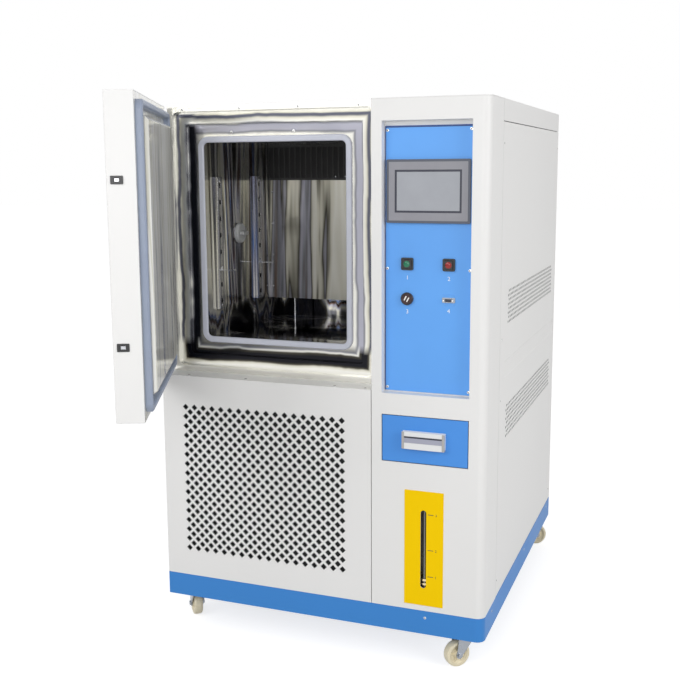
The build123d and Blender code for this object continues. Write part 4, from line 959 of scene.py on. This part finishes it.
class CHAMBER_OT_studio(bpy.types.Operator):
    """Build the floor, lights, world and camera"""

    bl_idname = "chamber.studio"
    bl_label = "Build studio"

    def execute(self, context):
        scene = context.scene
        scene.view_settings.view_transform = "Standard"
        floor_mesh = bmesh.new()
        bmesh.ops.create_grid(floor_mesh, x_segments=1, y_segments=1, size=30.0)
        mesh = bpy.data.meshes.new("floor")
        floor_mesh.to_mesh(mesh)
        floor_mesh.free()
        floor = bpy.data.objects.new("floor", mesh)
        scene.collection.objects.link(floor)
        material, tree, out = nodes_of("floor_white")
        diffuse = add(tree, "ShaderNodeBsdfDiffuse")
        diffuse.inputs["Color"].default_value = (0.56, 0.56, 0.56, 1)
        glow = add(tree, "ShaderNodeEmission", Strength=0.72)
        none = add(tree, "ShaderNodeBsdfDiffuse")
        none.inputs["Color"].default_value = (0, 0, 0, 1)
        total = add(tree, "ShaderNodeAddShader")
        link = tree.links.new
        chosen = shown_to_eye(tree, none.outputs["BSDF"], glow.outputs["Emission"])
        link(chosen, total.inputs[0])
        link(diffuse.outputs["BSDF"], total.inputs[1])
        link(total.outputs["Shader"], out.inputs["Surface"])
        mesh.materials.append(material)

        world = bpy.data.worlds.new("studio")
        scene.world = world
        world.use_nodes = True
        tree = world.node_tree
        tree.nodes.clear()
        out = tree.nodes.new("ShaderNodeOutputWorld")
        lit = add(tree, "ShaderNodeBackground", Strength=0.53)
        lit.inputs["Color"].default_value = (1, 1, 1, 1)
        shown = add(tree, "ShaderNodeBackground", Strength=1.0)
        shown.inputs["Color"].default_value = (1, 1, 1, 1)
        chosen = shown_to_eye(tree, lit.outputs["Background"], shown.outputs["Background"])
        tree.links.new(chosen, out.inputs["Surface"])

        def lamp(name, place, target, size, power):
            data = bpy.data.lights.new(name, "AREA")
            data.shape = "RECTANGLE"
            data.size, data.size_y = size
            data.energy = power
            light = bpy.data.objects.new(name, data)
            scene.collection.objects.link(light)
            light.location = place
            aim = Vector(target) - Vector(place)
            light.rotation_mode = "QUATERNION"
            light.rotation_quaternion = aim.to_track_quat("-Z", "Y")
            return light

        lamp("key", (-2.2, -4.6, 3.1), (0.0, -0.5, 1.1), (2.6, 2.2), 64.0)
        lamp("fill", (4.0, -1.9, 2.2), (0.3, 0.0, 0.9), (2.2, 2.2), 62.0)
        lamp("front", (0.5, -3.9, 1.6), (-0.2, 0.0, 1.2), (1.2, 1.2), 24.0)

        data = bpy.data.cameras.new("camera")
        data.sensor_width = 36.0
        focal_pixels, picture_pixels = 994.9, 680.0
        data.lens = focal_pixels / picture_pixels * data.sensor_width
        data.shift_x, data.shift_y = 0.0034, -0.0285
        camera = bpy.data.objects.new("camera", data)
        scene.collection.objects.link(camera)
        turn, dip, roll = math.radians(21.013), math.radians(8.707), math.radians(-0.38)
        level = math.cos(dip)
        ahead = Vector((-math.sin(turn) * level, math.cos(turn) * level, -math.sin(dip)))
        across = ahead.cross(Vector((0, 0, 1))).normalized()
        upward = across.cross(ahead)
        right = across * math.cos(roll) + upward * math.sin(roll)
        up = -across * math.sin(roll) + upward * math.cos(roll)
        rotation = Matrix((right, up, -ahead)).transposed()
        camera.matrix_world = Matrix.Translation((1.0615, -3.1373, 1.4147)) @ rotation.to_4x4()
        scene.camera = camera
        return {"FINISHED"}


class CHAMBER_PT_panel(bpy.types.Panel):
    """Sizes, colours and steps of the chamber"""

    bl_label = "Test chamber"
    bl_idname = "CHAMBER_PT_panel"
    bl_space_type = "VIEW_3D"
    bl_region_type = "UI"
    bl_category = "Chamber"

    def draw(self, context):
        column = self.layout.column()
        for name in ("white", "blue", "drawer_blue", "panel_blue", "yellow", "silicone"):
            column.prop(context.scene.chamber_look, name)
        for name in ("slot_length", "slot_width", "slot_pitch", "vent_rows"):
            column.prop(context.scene.chamber_sizes, name)
        for step in STEPS:
            column.operator(step)


STEPS = (
    "chamber.finishes", "chamber.side_panel", "chamber.screws", "chamber.controls",
    "chamber.casters", "chamber.interior", "chamber.marks", "chamber.studio",
)
CLASSES = (
    ChamberLook, ChamberSizes, CHAMBER_OT_finishes, CHAMBER_OT_side_panel, CHAMBER_OT_screws,
    CHAMBER_OT_controls, CHAMBER_OT_casters, CHAMBER_OT_interior, CHAMBER_OT_marks,
    CHAMBER_OT_studio, CHAMBER_PT_panel,
)


def register():
    for cls in CLASSES:
        bpy.utils.register_class(cls)
    bpy.types.Scene.chamber_look = bpy.props.PointerProperty(type=ChamberLook)
    bpy.types.Scene.chamber_sizes = bpy.props.PointerProperty(type=ChamberSizes)


def unregister():
    del bpy.types.Scene.chamber_look
    del bpy.types.Scene.chamber_sizes
    for cls in reversed(CLASSES):
        bpy.utils.unregister_class(cls)


def main():
    register()
    for step in STEPS:
        group, name = step.split(".")
        getattr(getattr(bpy.ops, group), name)()


if __name__ == "__main__":
    main()
